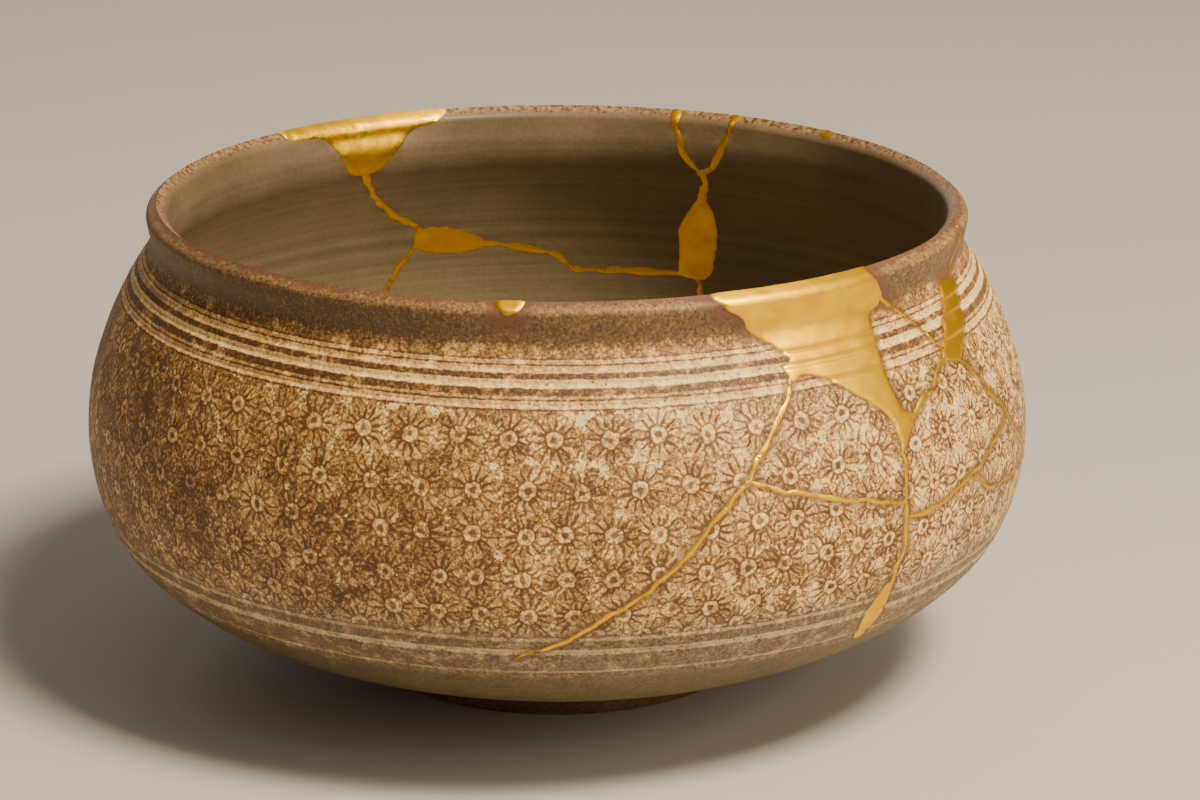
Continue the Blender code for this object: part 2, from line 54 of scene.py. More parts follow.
# %% Sizes of the thrown form, in millimetres
HEIGHT = 91.5
BELLY_RADIUS = 90.0
BELLY_HEIGHT = 46.5
RIM_RADIUS = 75.8
LIP_THICKNESS = 3.8
LIP_ROUNDING = 1.7
LIP_HEIGHT = 6.5
NECK_SWEEP = 2.4
NECK_DEPTH = 0.6
BELLY_WALL = 5.0
LOWER_WALL = 5.4
FOOT_RADIUS = 37.5
FOOT_HEIGHT = 6.0
FOOT_WIDTH = 4.5
FOOT_HOLLOW = 4.2
FLOOR_THICKNESS = 5.2
ROOT_RADIUS = FOOT_RADIUS + 0.6
SHOULDER = ((0.18, 0.91), (0.415, 0.775), (0.675, 0.58), (0.925, 0.305))
UNDERSIDE = ((0.965, 0.74), (0.883, 0.53), (0.74, 0.355), (0.557, 0.216), (0.354, 0.108))
print(f"the bowl is {2 * BELLY_RADIUS:.0f} mm across and {HEIGHT} mm high")


# %% A smooth curve through knots
def smooth_curve(knots, steps=24):
    """Points of a smooth curve through the knots, with equal steps between each two."""
    knots = np.asarray(knots, float)
    ends = np.vstack((2 * knots[:1] - knots[1:2], knots, 2 * knots[-1:] - knots[-2:-1]))
    t = (np.arange(steps) / steps)[:, None]
    runs = []
    for before, here, ahead, after in zip(ends, ends[1:], ends[2:], ends[3:]):
        runs.append(
            here + (ahead - before) * t / 2
            + (2 * before - 5 * here + 4 * ahead - after) * t ** 2 / 2
            + (3 * here - before - 3 * ahead + after) * t ** 3 / 2
        )
    return np.vstack(runs + [knots[-1:]])


def profile_normals(points):
    """Unit normals that point away from the axis, for a profile that runs down the outside."""
    along = np.gradient(points, axis=0)
    normals = np.stack((-along[:, 1], along[:, 0]), 1)
    return normals / np.linalg.norm(normals, axis=1, keepdims=True)


print(len(smooth_curve(((0, 0), (1, 1), (2, 0)))), "points on a smooth curve through three knots")

# %% The bowl's profile, as (radius, z)
lip_radius = RIM_RADIUS + LIP_THICKNESS / 2
neck_z = HEIGHT - LIP_HEIGHT - NECK_SWEEP
outer_knots = [
    (RIM_RADIUS, HEIGHT),
    (lip_radius, HEIGHT - LIP_ROUNDING),
    (lip_radius - NECK_DEPTH * 0.33, HEIGHT - LIP_HEIGHT * 0.65),
    (lip_radius - NECK_DEPTH, HEIGHT - LIP_HEIGHT),
    (lip_radius, neck_z),
]
for out, up in SHOULDER:
    outer_knots.append((
        lip_radius + out * (BELLY_RADIUS - lip_radius),
        BELLY_HEIGHT + up * (neck_z - BELLY_HEIGHT),
    ))
belly = len(outer_knots)
outer_knots.append((BELLY_RADIUS, BELLY_HEIGHT))
for out, up in UNDERSIDE:
    outer_knots.append((
        ROOT_RADIUS + out * (BELLY_RADIUS - ROOT_RADIUS),
        FOOT_HEIGHT + up * (BELLY_HEIGHT - FOOT_HEIGHT),
    ))
outer_knots = np.array(outer_knots)

knot_normals = profile_normals(outer_knots)
knot_numbers = np.arange(len(outer_knots))
thickness = np.interp(
    knot_numbers, (2, belly, knot_numbers[-1]), (LIP_THICKNESS, BELLY_WALL, LOWER_WALL)
)
inner_knots = outer_knots - knot_normals * thickness[:, None]
inner_knots[0] = outer_knots[0]
inner_knots[1] = outer_knots[1] - (LIP_THICKNESS, 0)

outside = smooth_curve(outer_knots)
inside = smooth_curve(inner_knots)
steps_along = np.linalg.norm(np.diff(outside, axis=0), axis=1)
depths = np.concatenate(((0.0,), np.cumsum(steps_along)))
LAST_DEPTH = depths[-1]
print(f"the wall measures {LAST_DEPTH:.1f} mm from the rim's crest to the foot")

# %% [markdown]
# A broken bowl is easiest to draw on a flat map of its wall. Across the map runs the way round
# the bowl, and down it the depth from the crest of the rim, both in millimetres. Every crack,
# patch and stamped flower is laid out there, and one function folds the map round the bowl.
# The front is at 0 degrees, and the map's ends meet at the left side, where nothing is mended.

# %% Folding the map round the bowl
MAP_RADIUS = (RIM_RADIUS + BELLY_RADIUS) / 2
MM_PER_DEGREE = math.radians(MAP_RADIUS)
FIRST_DEGREE = -90
MAP_LEFT = FIRST_DEGREE * MM_PER_DEGREE
MAP_WIDTH = 360 * MM_PER_DEGREE
HUNDREDTH = LAST_DEPTH / 100
GROOVES = (
    (12.4 * HUNDREDTH, 1.4, 0.35),
    (15.0 * HUNDREDTH, 1.5, 0.40),
    (18.6 * HUNDREDTH, 1.2, 0.30),
    (63.5 * HUNDREDTH, 1.5, 0.35),
    (69.6 * HUNDREDTH, 2.0, 0.25),
)
outside_normals = profile_normals(outside)
inside_normals = -profile_normals(inside)
outside_normals[0] = inside_normals[0] = (0, 1)


def groove_cut(depth):
    """How far the turned grooves cut in at a depth."""
    cut = np.zeros_like(depth)
    for middle, width, deep in GROOVES:
        share = np.clip(np.abs(depth - middle) / (width / 2), 0, 1)
        cut += deep * (0.5 + 0.5 * np.cos(np.pi * share))
    return cut


def hand_waver(angle, depth):
    """The slight unevenness that the potter's hands leave in a thrown wall."""
    slow = 0.10 * np.sin(2 * angle + 0.04 * depth + 0.7) + 0.07 * np.sin(3 * angle - 0.05 * depth)
    quick = 0.03 * np.sin(7 * angle + 0.11 * depth + 2.0) + 0.02 * np.sin(13 * angle - 0.3 * depth)
    return (slow + quick) * np.clip(depth / 12, 0.35, 1)


def fold(spots, outer, height=0.0):
    """Folds map spots round the bowl, on its outer or inner face, raised by height."""
    depth = np.clip(spots[:, 1], 0, LAST_DEPTH)
    angle = spots[:, 0] / MAP_RADIUS
    curve, normals = (outside, outside_normals) if outer else (inside, inside_normals)
    place = np.stack([np.interp(depth, depths, curve[:, k]) for k in (0, 1)], 1)
    normal = np.stack([np.interp(depth, depths, normals[:, k]) for k in (0, 1)], 1)
    normal /= np.linalg.norm(normal, axis=1, keepdims=True)
    off = hand_waver(angle, depth) * (1 if outer else -0.8)
    if outer:
        off = off - groove_cut(depth)
    else:
        off = off + 0.05 * np.sin(depth * 1.15 + angle) * np.clip(depth / 8, 0, 1)
    off *= np.clip(depth / 2, 0, 1)
    place = place + normal * (off + height)[:, None]
    radius, z = place.T
    return np.stack((radius * np.sin(angle), -radius * np.cos(angle), z), 1)


print(f"the map is {MAP_WIDTH:.0f} x {LAST_DEPTH:.0f} mm")

# %% [markdown]
# The gold follows the breaks. Each crack is a line on the map with a width that wavers, because
# the lacquer was laid by brush, and each lost patch is an outline. Both are given as angles and
# hundredths of the way down the wall, the same places that the solids have. The straight steps
# between the points are rounded and then roughened a little, since fired clay breaks unevenly.

# %% Where the bowl broke
CRACKS = (
    (0.50, "", ((29.7, 16.2), (28.8, 20.1), (26.2, 24.8), (23.2, 30.2), (21.8, 33.4))),
    (0.42, "end", ((21.8, 33.4), (17.6, 39.6), (13.8, 45.7), (8.4, 53.2), (1.7, 59.9), (-5.0, 65.3))),
    (0.42, "", ((21.8, 33.4), (26.0, 35.7), (31.9, 38.5), (39.1, 41.6), (43.4, 42.8))),
    (0.45, "", ((44.2, 32.4), (43.6, 40.5), (43.3, 47.9), (43.2, 52.7), (42.2, 59.4))),
    (0.45, "", ((46.6, 28.5), (50.2, 25.7), (53.0, 23.7), (56.8, 20.4))),
    (0.38, "", ((47.6, 6.7), (51.0, 10.0), (53.8, 14.5), (57.6, 21.2))),
    (0.45, "end", ((58.8, 21.0), (63.2, 27.9), (68.4, 36.2), (72.1, 41.2), (79.0, 48.7), (84.0, 54.0))),
    (0.45, "", ((68.4, 36.2), (61.1, 40.6), (57.3, 42.6), (49.0, 45.7), (43.4, 45.8))),
    (0.40, "", ((57.3, 42.6), (62.0, 47.3), (70.0, 48.5), (79.0, 48.7))),
    (0.45, "", ((67.6, 9.6), (70.6, 6.3), (73.4, 2.7), (74.6, -3.0))),
    (0.90, "", ((212.6, 9.6), (208.0, 19.5), (203.4, 25.3), (199.0, 30.2))),
    (0.70, "end", ((200.4, 32.2), (203.2, 37.1), (206.5, 49.1), (210.0, 58.9))),
    (0.80, "", ((193.0, 33.0), (186.1, 34.3), (180.6, 36.4), (176.8, 39.9), (169.4, 40.3),
                    (160.0, 40.1))),
    (0.80, "end", ((159.6, 39.3), (158.6, 47.1), (156.0, 56.9))),
    (0.90, "", ((157.2, 20.6), (156.3, 15.4), (156.6, 11.4))),
    (0.80, "", ((156.5, 12.6), (158.6, 9.4), (160.2, 6.2), (161.2, -3.0))),
    (0.80, "", ((156.5, 12.6), (153.7, 9.2), (152.0, 6.4), (150.2, -3.0))),
)
PATCHES = (
    (
        (20.3, -2.0), (20.5, 1.1), (22.3, 3.5), (24.4, 5.1), (25.4, 7.7), (29.2, 11.7),
        (30.6, 14.1), (29.1, 14.9), (29.6, 18.3), (31.8, 16.6), (35.6, 18.9), (38.9, 22.6),
        (43.1, 27.5), (43.9, 34.2), (45.6, 31.4), (47.5, 27.9), (45.2, 26.9), (44.5, 23.6),
        (44.3, 18.4), (44.8, 14.3), (45.4, 9.2), (47.7, 8.0), (48.4, 6.1), (46.8, 3.5),
        (45.9, 1.0), (45.9, -2.0),
    ),
    (
        (64.9, 8.4), (62.4, 12.1), (60.6, 14.3), (55.8, 21.0), (57.6, 22.4), (60.3, 22.6),
        (63.2, 19.9), (66.3, 16.2), (67.0, 13.8), (70.6, 10.0),
    ),
    (
        (42.8, 57.5), (41.6, 57.8), (40.1, 61.3), (39.5, 64.8), (40.8, 72.1), (42.2, 72.3),
        (42.9, 64.8),
    ),
    ((-8.2, -2.0), (-8.1, 0.6), (-7.0, 2.7), (-5.3, 2.7), (-4.1, 0.6), (-4.0, -2.0)),
    (
        (197.2, -2.0), (197.9, 1.6), (200.6, 3.4), (203.0, 4.0), (207.6, 8.3), (210.8, 11.2),
        (214.6, 10.7), (216.4, 8.6), (220.7, 3.2), (227.2, 2.8), (228.0, -2.0),
    ),
    ((201.6, 28.1), (201.0, 34.0), (196.0, 35.7), (190.5, 34.6), (190.7, 31.8), (196.0, 28.1)),
    (
        (157.3, 18.1), (156.2, 21.6), (155.7, 27.5), (156.2, 33.4), (157.6, 41.5),
        (162.4, 41.2), (162.0, 35.3), (161.9, 28.5), (160.2, 24.0),
    ),
    ((132.2, -2.0), (132.3, 1.5), (133.3, 2.3), (134.4, 1.4), (134.5, -2.0)),
)
PIECES = {
    "bowl_body": (-45.0, 39.3), "sherd_front": (36.0, 32.4), "sherd_shoulder": (49.0, 17.7),
    "sherd_rim_right": (58.0, 7.9), "sherd_side_large": (55.0, 32.4),
    "sherd_side_small": (67.0, 42.7), "sherd_back_large": (180.0, 19.6),
    "sherd_back_small": (156.0, 3.9), "gold_front": (36.0, 11.8), "gold_back": (212.0, 2.0),
    "gold_chip_front": (-6.0, 1.4), "gold_chip_back": (133.3, 1.0),
}
print(len(CRACKS), "cracks and", len(PATCHES), "patches part", len(PIECES), "pieces")

# %% Helpers for lines on the map
chance = np.random.default_rng(7)


def on_map(points):
    """Angles and hundredths as map spots in millimetres."""
    return np.asarray(points, float) * (MM_PER_DEGREE, HUNDREDTH)


def resampled(line, spacing):
    """A line with points at an even spacing."""
    lengths = np.concatenate(((0.0,), np.cumsum(np.linalg.norm(np.diff(line, axis=0), axis=1))))
    stations = np.linspace(0, lengths[-1], max(int(lengths[-1] / spacing), 2) + 1)
    return np.stack([np.interp(stations, lengths, line[:, k]) for k in (0, 1)], 1)


def waver(count, every, amount):
    """A smooth chance value for each of count points, with a new one every few points."""
    knots = chance.normal(0, amount, max(int(count / every), 1) + 3)
    at = np.linspace(0, len(knots) - 1, count)
    low = np.minimum(at.astype(int), len(knots) - 2)
    share = 0.5 - 0.5 * np.cos(np.pi * (at - low))
    return knots[low] * (1 - share) + knots[low + 1] * share


def sideways(line):
    """Unit directions square to a line."""
    along = np.gradient(line, axis=0)
    side = np.stack((-along[:, 1], along[:, 0]), 1)
    return side / np.maximum(np.linalg.norm(side, axis=1, keepdims=True), 1e-9)


# %% Outlines of the gold
outlines = []
for half_width, fading, route in CRACKS:
    line = resampled(smooth_curve(on_map(route), 8), 0.5)
    count = len(line)
    line = line + sideways(line) * (waver(count, 4, 0.16) + waver(count, 12, 0.22))[:, None]
    half = half_width * (1 + np.clip(waver(count, 4, 0.22), -0.4, 0.6))
    if fading:
        half *= np.clip(np.linspace(6, 0.25, count), 0.25, 1)
    side = sideways(line) * half[:, None]
    outlines.append(np.vstack((line + side, (line - side)[::-1])))

for patch in PATCHES:
    corners = on_map(patch)
    for _ in range(2):
        ahead = np.roll(corners, -1, 0)
        corners = np.stack((0.82 * corners + 0.18 * ahead, 0.18 * corners + 0.82 * ahead), 1)
        corners = corners.reshape(-1, 2)
    line = resampled(np.vstack((corners, corners[:1])), 0.5)[:-1]
    fade = np.clip(np.minimum(np.arange(len(line)), np.arange(len(line))[::-1]) / 4, 0, 1)
    line = line + sideways(line) * (waver(len(line), 3, 0.10) * fade)[:, None]
    outlines.append(line)
print(len(outlines), "outlines of gold,", sum(map(len, outlines)), "points")

# %% [markdown]
# The belly is covered with small flowers that were pressed into the soft clay with one stamp, row
# by row, and then filled with pale slip. Later flowers bite into earlier ones. To keep that, the
# mesh is cut along each stamp's circle, and each face remembers which stamp lies on top there.
# The finish later draws ring and petals from the face's place inside its own stamp.

# %% Rows of stamped flowers
STAMP_RADIUS = 4.9
STAMP_CORNERS = 18
# A flower that crosses an end of the map is drawn past the other end too.
PAST_THE_END = 7.0
STAMP_ROWS = (
    (24.9, 61, -5.6), (33.7, 59, -3.0), (41.4, 68, -4.2), (49.2, 72, -3.6), (56.2, 70, 2.0),
    (60.6, 66, -1.0),
)
stamps = []
for row_depth, count, first in STAMP_ROWS:
    for number in range(count):
        angle = first + 360 * number / count + chance.normal(0, 0.28)
        depth = row_depth + chance.normal(0, 0.22)
        stamps.append((angle, depth, chance.uniform(0, 2 * np.pi), chance.normal(0, 1)))
order = chance.permutation(len(stamps))
stamps = np.array(stamps)[order]
stamps[:, 0] = (stamps[:, 0] - FIRST_DEGREE) % 360 + FIRST_DEGREE

circle = np.linspace(0, 2 * np.pi, STAMP_CORNERS, endpoint=False)
stamp_spots = stamps[:, :2] * (MM_PER_DEGREE, 1)
stamp_radii = np.interp(stamps[:, 1], depths, outside[:, 0])
stretch = MAP_RADIUS / stamp_radii
stamp_shapes = []
for number, (spot, wide) in enumerate(zip(stamp_spots, stretch)):
    shape = STAMP_RADIUS * np.stack((np.cos(circle) * wide, np.sin(circle)), 1)
    for turn in (-1, 0, 1):
        x = spot[0] + turn * MAP_WIDTH
        if MAP_LEFT - PAST_THE_END < x < MAP_LEFT + MAP_WIDTH + PAST_THE_END:
            stamp_shapes.append((number, np.array((x, spot[1])), shape + (x, spot[1])))
print(len(stamps), "stamped flowers")

# %% [markdown]
# The map becomes a mesh by triangulating a grid of points together with the outlines, which the
# triangles then have to respect. The grid is fine where the profile turns sharply, at the lip
# and in the grooves, and coarse on the belly. Gold gets its own fine points, so that it can swell.

# %% Helpers for the map
# Clay points stay CLEAR_OF_GOLD mm off the gold's outlines, so that no triangle is a sliver.
COLUMNS = 300
TINY = 1e-6
CLEAR_OF_GOLD = 0.45


def at_map_ends(spots):
    """Which spots lie on the map's left or right end."""
    return (spots[:, 0] < MAP_LEFT + TINY) | (spots[:, 0] > MAP_LEFT + MAP_WIDTH - TINY)


def in_outline(spots, outline):
    """Which spots lie inside an outline."""
    near = np.flatnonzero(((spots > outline.min(0)) & (spots < outline.max(0))).all(1))
    a, b = outline, np.roll(outline, -1, 0)
    p = spots[near][:, None]
    spans = (a[:, 1] > p[..., 1]) != (b[:, 1] > p[..., 1])
    rise = np.where(a[:, 1] == b[:, 1], 1, b[:, 1] - a[:, 1])
    meets = a[:, 0] + (b[:, 0] - a[:, 0]) * (p[..., 1] - a[:, 1]) / rise
    found = np.zeros(len(spots), bool)
    found[near[(spans & (p[..., 0] < meets)).sum(1) % 2 == 1]] = True
    return found


def in_gold(spots):
    """Which spots lie in gold."""
    found = np.zeros(len(spots), bool)
    for outline in outlines:
        found |= in_outline(spots, outline)
    return found


def nearness(points):
    """A function that gives the distance from each spot to the nearest of these points."""
    tree = KDTree(len(points))
    for number, point in enumerate(points):
        tree.insert((point[0], point[1], 0), number)
    tree.balance()

    def distance(spots):
        return np.array([tree.find((x, y, 0))[2] for x, y in spots])

    return distance


def rows_between(*spans):
    """Depths of rows: each span is (from, to, spacing)."""
    rows = []
    for start, end, spacing in spans:
        rows.append(np.linspace(start, end, max(round((end - start) / spacing), 1), endpoint=False))
    return np.concatenate(rows + [np.array((LAST_DEPTH,))])


def grid(rows, columns):
    """Grid points with a column at both ends of the map."""
    across = MAP_LEFT + MAP_WIDTH * np.arange(columns + 1) / columns
    return np.stack([a.ravel() for a in np.meshgrid(across, rows)], 1)


def chain(first, count, closed):
    """Edges from point to point."""
    return [(first + k, first + (k + 1) % count) for k in range(count if closed else count - 1)]


print(f"the grid's columns are {MAP_WIDTH / COLUMNS:.2f} mm apart")

# %% Points and edges of the outer face
outer_rows = rows_between(
    (0, 3.4, 0.34), (3.4, 11.6, 1.1), (11.6, 19.9, 0.3), (19.9, 63.0, 2.5), (63.0, 72.4, 0.32),
    (72.4, LAST_DEPTH, 2.0),
)
gold_rim = np.vstack([resampled(np.vstack((o, o[:1])), 0.12) for o in outlines])
from_outlines = nearness(gold_rim)
spots = grid(outer_rows, COLUMNS)
on_frame = (spots[:, 1] < TINY) | (spots[:, 1] > LAST_DEPTH - TINY) | at_map_ends(spots)
keep = on_frame | ((from_outlines(spots) > CLEAR_OF_GOLD) & ~in_gold(spots))
frame_spots = spots[on_frame]
clay_spots = spots[keep & ~on_frame]

# The gold's own points stand in staggered rows, this far apart across and down.
GOLD_ACROSS, GOLD_DOWN = 0.42, 0.36
gold_spots = []
for outline in outlines:
    low, high = outline.min(0), outline.max(0)
    x, y = np.meshgrid(np.arange(low[0], high[0], GOLD_ACROSS), np.arange(low[1], high[1], GOLD_DOWN))
    x = x + (np.arange(len(y)) % 2)[:, None] * GOLD_ACROSS / 2
    inner = np.stack((x.ravel(), y.ravel()), 1)
    gold_spots.append(inner[in_outline(inner, outline)])
gold_spots = np.vstack(gold_spots)
gold_spots = np.unique(np.round(gold_spots, 2), axis=0)
gold_spots = gold_spots[(from_outlines(gold_spots) > 0.2) & (gold_spots[:, 1] > 0.15)]
print(len(clay_spots), "points in the clay,", len(gold_spots), "in the gold")


# %% Triangulating the map
FRAME_MARGIN = 5.0


def border_edges(points):
    """Edges that join the points along the map's four sides."""
    edges = []
    for fixed, value in ((1, 0), (1, LAST_DEPTH), (0, MAP_LEFT), (0, MAP_LEFT + MAP_WIDTH)):
        found = np.flatnonzero(np.abs(points[:, fixed] - value) < TINY)
        found = found[np.argsort(points[found, 1 - fixed])]
        edges += list(zip(found[:-1].tolist(), found[1:].tolist()))
    return edges


def triangulate(points, edges):
    """The map's points and triangles, and for each new point the old ones it stands for."""
    low_x, high_x = MAP_LEFT - FRAME_MARGIN, MAP_LEFT + MAP_WIDTH + FRAME_MARGIN
    low_y, high_y = -FRAME_MARGIN, LAST_DEPTH + FRAME_MARGIN
    framed = points.tolist() + [(low_x, low_y), (high_x, low_y), (high_x, high_y), (low_x, high_y)]
    vectors = [Vector(p) for p in framed]
    found, _, triangles, old, *_ = delaunay_2d_cdt(vectors, edges, [], 0, 1e-5, True)
    found = np.array([tuple(p) for p in found])
    triangles = np.array(triangles, np.int64)
    centres = found[triangles].mean(1)
    on = (centres[:, 1] > 0) & (centres[:, 1] < LAST_DEPTH)
    on &= (centres[:, 0] > MAP_LEFT) & (centres[:, 0] < MAP_LEFT + MAP_WIDTH)
    a, b, c = (found[triangles[:, k]] for k in range(3))
    area = (b[:, 0] - a[:, 0]) * (c[:, 1] - a[:, 1]) - (b[:, 1] - a[:, 1]) * (c[:, 0] - a[:, 0])
    triangles = triangles[on & (area > 1e-9)]
    used = np.unique(triangles)
    return found[used], np.searchsorted(used, triangles), [old[k] for k in used]


def joined_ends(points):
    """For each point the one that stands for it, once the map's right end meets its left."""
    left = np.flatnonzero(np.abs(points[:, 0] - MAP_LEFT) < 1e-4)
    right = np.flatnonzero(np.abs(points[:, 0] - MAP_LEFT - MAP_WIDTH) < 1e-4)
    left = left[np.argsort(points[left, 1])]
    right = right[np.argsort(points[right, 1])]
    if len(left) != len(right):
        raise ValueError("the map's two ends have different points")
    stands_for = np.arange(len(points))
    stands_for[right] = left
    return stands_for


edges = border_edges(frame_spots)
all_spots = [frame_spots]
first = len(frame_spots)
for closed_line in outlines + [shape for _, _, shape in stamp_shapes]:
    edges += chain(first, len(closed_line), True)
    all_spots.append(closed_line)
    first += len(closed_line)
all_spots += [clay_spots, gold_spots]
outer_points, outer_triangles, _ = triangulate(np.vstack(all_spots), edges)
outer_joined = joined_ends(outer_points)
print(len(outer_points), "points and", len(outer_triangles), "triangles outside")


# %% [markdown]
# The triangles now fall into islands: a triangle is gold or clay by where its middle lies, and
# an island is all the triangles that can be reached without crossing between the two. Each
# island is one sherd or one mend, and one known spot inside it gives its name.

# %% Islands of gold and clay
def half_edges(triangles, joined):
    """Each triangle's three edges by their end points, and the triangle on the other side."""
    welded = joined[triangles]
    a = welded.ravel()
    b = np.roll(welded, -1, 1).ravel()
    owner = np.repeat(np.arange(len(triangles)), 3)
    size = len(joined)
    key, twin_key = a * size + b, b * size + a
    sorted_keys = np.argsort(key)
    at = np.searchsorted(key[sorted_keys], twin_key)
    at = np.minimum(at, len(key) - 1)
    twin = sorted_keys[at]
    other = np.where(key[twin] == twin_key, owner[twin], -1)
    return a, b, owner, other


def islands(count, pairs):
    """A label for each triangle, the same for all that are joined by pairs."""
    label = np.arange(count)
    while True:
        low = np.minimum(label[pairs[:, 0]], label[pairs[:, 1]])
        new = label.copy()
        np.minimum.at(new, pairs[:, 0], low)
        np.minimum.at(new, pairs[:, 1], low)
        new = new[new]
        if (new == label).all():
            return label
        label = new


# Crossing outlines leave slivers of clay between them. Those under 6 square mm count as gold.
SMALLEST_ISLAND = 6.0
centres = outer_points[outer_triangles].mean(1)
is_gold = in_gold(centres)
a, b, owner, other = half_edges(outer_triangles, outer_joined)
corner_a, corner_b, corner_c = (outer_points[outer_triangles[:, k]] for k in range(3))
sizes = np.abs(np.cross(corner_b - corner_a, corner_c - corner_a)) / 2
for _ in range(2):
    same = (other >= 0) & (is_gold[owner] == is_gold[other])
    label = islands(len(outer_triangles), np.stack((owner[same], other[same]), 1))
    island_size = np.bincount(label, sizes, len(outer_triangles))
    is_gold |= island_size[label] < SMALLEST_ISLAND
piece_of = np.full(len(outer_triangles), -1)
for number, (name, seed) in enumerate(PIECES.items()):
    kind = np.flatnonzero(is_gold == name.startswith("gold"))
    nearest = kind[np.argmin(np.linalg.norm(centres[kind] - on_map(seed), axis=1))]
    piece_of[label == label[nearest]] = number
    print(name, int((piece_of == number).sum()), "triangles outside")
print("left over:", int((piece_of < 0).sum()))


# %% [markdown]
# The inner face has the same breaks, because a crack runs straight through the wall. It gets its
# own coarser grid, together with every point that lies on a break of the outer face. Its islands
# take their names from the edges that both faces share.

# %% Breaks that both faces share
apart = (other >= 0) & (piece_of[owner] != piece_of[other])
unwelded_a = outer_triangles.ravel()
unwelded_b = np.roll(outer_triangles, -1, 1).ravel()
break_ends = np.stack((unwelded_a[apart], unwelded_b[apart]), 1)
break_piece = piece_of[owner[apart]]
crest = np.flatnonzero(outer_points[:, 1] < TINY)
crest = crest[np.argsort(outer_points[crest, 0])]
shared = np.unique(np.concatenate((break_ends.ravel(), crest)))
number_of = np.full(len(outer_points), -1)
number_of[shared] = np.arange(len(shared))

FINE_LIP = 4.0
inner_rows = rows_between((0, 3.4, 0.34), (3.4, 12.0, 1.6), (12.0, LAST_DEPTH, 2.8))
spots = grid(inner_rows, COLUMNS)
on_frame = (spots[:, 1] > LAST_DEPTH - TINY) | at_map_ends(spots)
coarse = np.arange(len(spots)) % (COLUMNS + 1) % 2 == 0
near_lip = spots[:, 1] < FINE_LIP
keep = on_frame | ((from_outlines(spots) > CLEAR_OF_GOLD) & ~in_gold(spots))
keep &= (spots[:, 1] >= TINY) & (coarse | near_lip | on_frame)
inner_gold = gold_spots[::3]
edges = [(int(number_of[i]), int(number_of[j])) for i, j in break_ends if i < j]
edges += [(int(number_of[i]), int(number_of[j])) for i, j in zip(crest[:-1], crest[1:])]
seeds = np.vstack((outer_points[shared], spots[keep], inner_gold))
edges += [e for e in border_edges(seeds) if seeds[e[0], 1] > TINY or seeds[e[1], 1] > TINY]
inner_points, inner_triangles, old = triangulate(seeds, edges)
inner_joined = joined_ends(inner_points)
outer_twin = np.full(len(inner_points), -1)
for number, olds in enumerate(old):
    for k in olds:
        if k < len(shared):
            outer_twin[number] = shared[k]
print(len(inner_points), "points and", len(inner_triangles), "triangles inside")

# %% Islands of the inner face
ia, ib, inner_owner, inner_other = half_edges(inner_triangles, inner_joined)
outer_size = len(outer_points)
welded_break = outer_joined[break_ends]
break_keys = welded_break[:, 0] * outer_size + welded_break[:, 1]
key_order = np.argsort(break_keys)


def twin_of(numbers):
    """The welded outer point that each inner point stands on, or -1."""
    twins = outer_twin[numbers]
    return np.where(twins >= 0, outer_joined[twins], -1)


ta, tb = twin_of(ia), twin_of(ib)
keys = np.where((ta >= 0) & (tb >= 0), ta * outer_size + tb, -1)
at = np.minimum(np.searchsorted(break_keys[key_order], keys), len(break_keys) - 1)
on_break = break_keys[key_order][at] == keys
together = (inner_other >= 0) & ~on_break
label = islands(len(inner_triangles), np.stack((inner_owner[together], inner_other[together]), 1))
inner_piece = np.full(len(inner_triangles), -1)
for island, number in zip(label[inner_owner[on_break]], break_piece[key_order][at][on_break]):
    inner_piece[island] = number
inner_piece = inner_piece[label]
print("inner triangles by piece:", np.bincount(inner_piece + 1, minlength=len(PIECES) + 1))


# %% [markdown]
# Gold lacquer is built up in coats, so it stands a little proud of the glaze and its edges round
# over. Its height at a point grows with the distance from the nearest break, and slow lumps show
# that a hand laid it. The clay remembers the same distance, because it is stained beside the gold.

# %% Height of the gold, and the clay's distance from it
GOLD_SUNK = 0.03
GOLD_SWELL = 0.21
SWELL_OVER = 0.28

samples = []
starts, ends = outer_points[break_ends[:, 0]], outer_points[break_ends[:, 1]]
for share in (0.0, 0.25, 0.5, 0.75):
    samples.append(starts + (ends - starts) * share)
from_gold_edge = nearness(np.vstack(samples))


def lumps(spots, size, seed):
    """Smooth chance heights, about one lump to each size in millimetres."""
    return np.array([noise.noise((x / size[0], y / size[1], seed)) for x, y in spots])


def gold_height(spots, distance):
    """How far the gold stands above the clay at map spots this far from its edge."""
    swell = 1 - np.exp(-distance / SWELL_OVER)
    return -GOLD_SUNK + swell * (GOLD_SWELL + 0.07 * lumps(spots, (3.5, 2.6), 3.0))


outer_distance = from_gold_edge(outer_points)
inner_distance = from_gold_edge(inner_points)
print(f"gold reaches {outer_distance[outer_triangles[is_gold]].max():.1f} mm from its edges")

# %% [markdown]
# Each outer triangle looks up the last stamp pressed over it. Its corners then get a place in
# that stamp, turned as the stamp was turned, which the finish reads like a small picture frame.

# %% Each face's place in its stamp
# A face under no stamp gets a place far outside any flower.
NO_STAMP = 9.0
stamp_place = np.full((len(outer_triangles), 3, 2), NO_STAMP)
stamp_chance = np.full(len(outer_triangles), 0.5)
for number, spot, shape in stamp_shapes:
    faces = np.flatnonzero(in_outline(centres, shape) & ~is_gold)
    local = (outer_points[outer_triangles[faces]] - spot) / (stretch[number], 1)
    turn = stamps[number, 2]
    x, y = local[..., 0], local[..., 1]
    turned = (x * math.cos(turn) - y * math.sin(turn), x * math.sin(turn) + y * math.cos(turn))
    stamp_place[faces] = np.stack(turned, -1)
    stamp_chance[faces] = 0.5 + 0.2 * stamps[number, 3]
print(int((stamp_chance != 0.5).sum()), "triangles lie under a stamp")

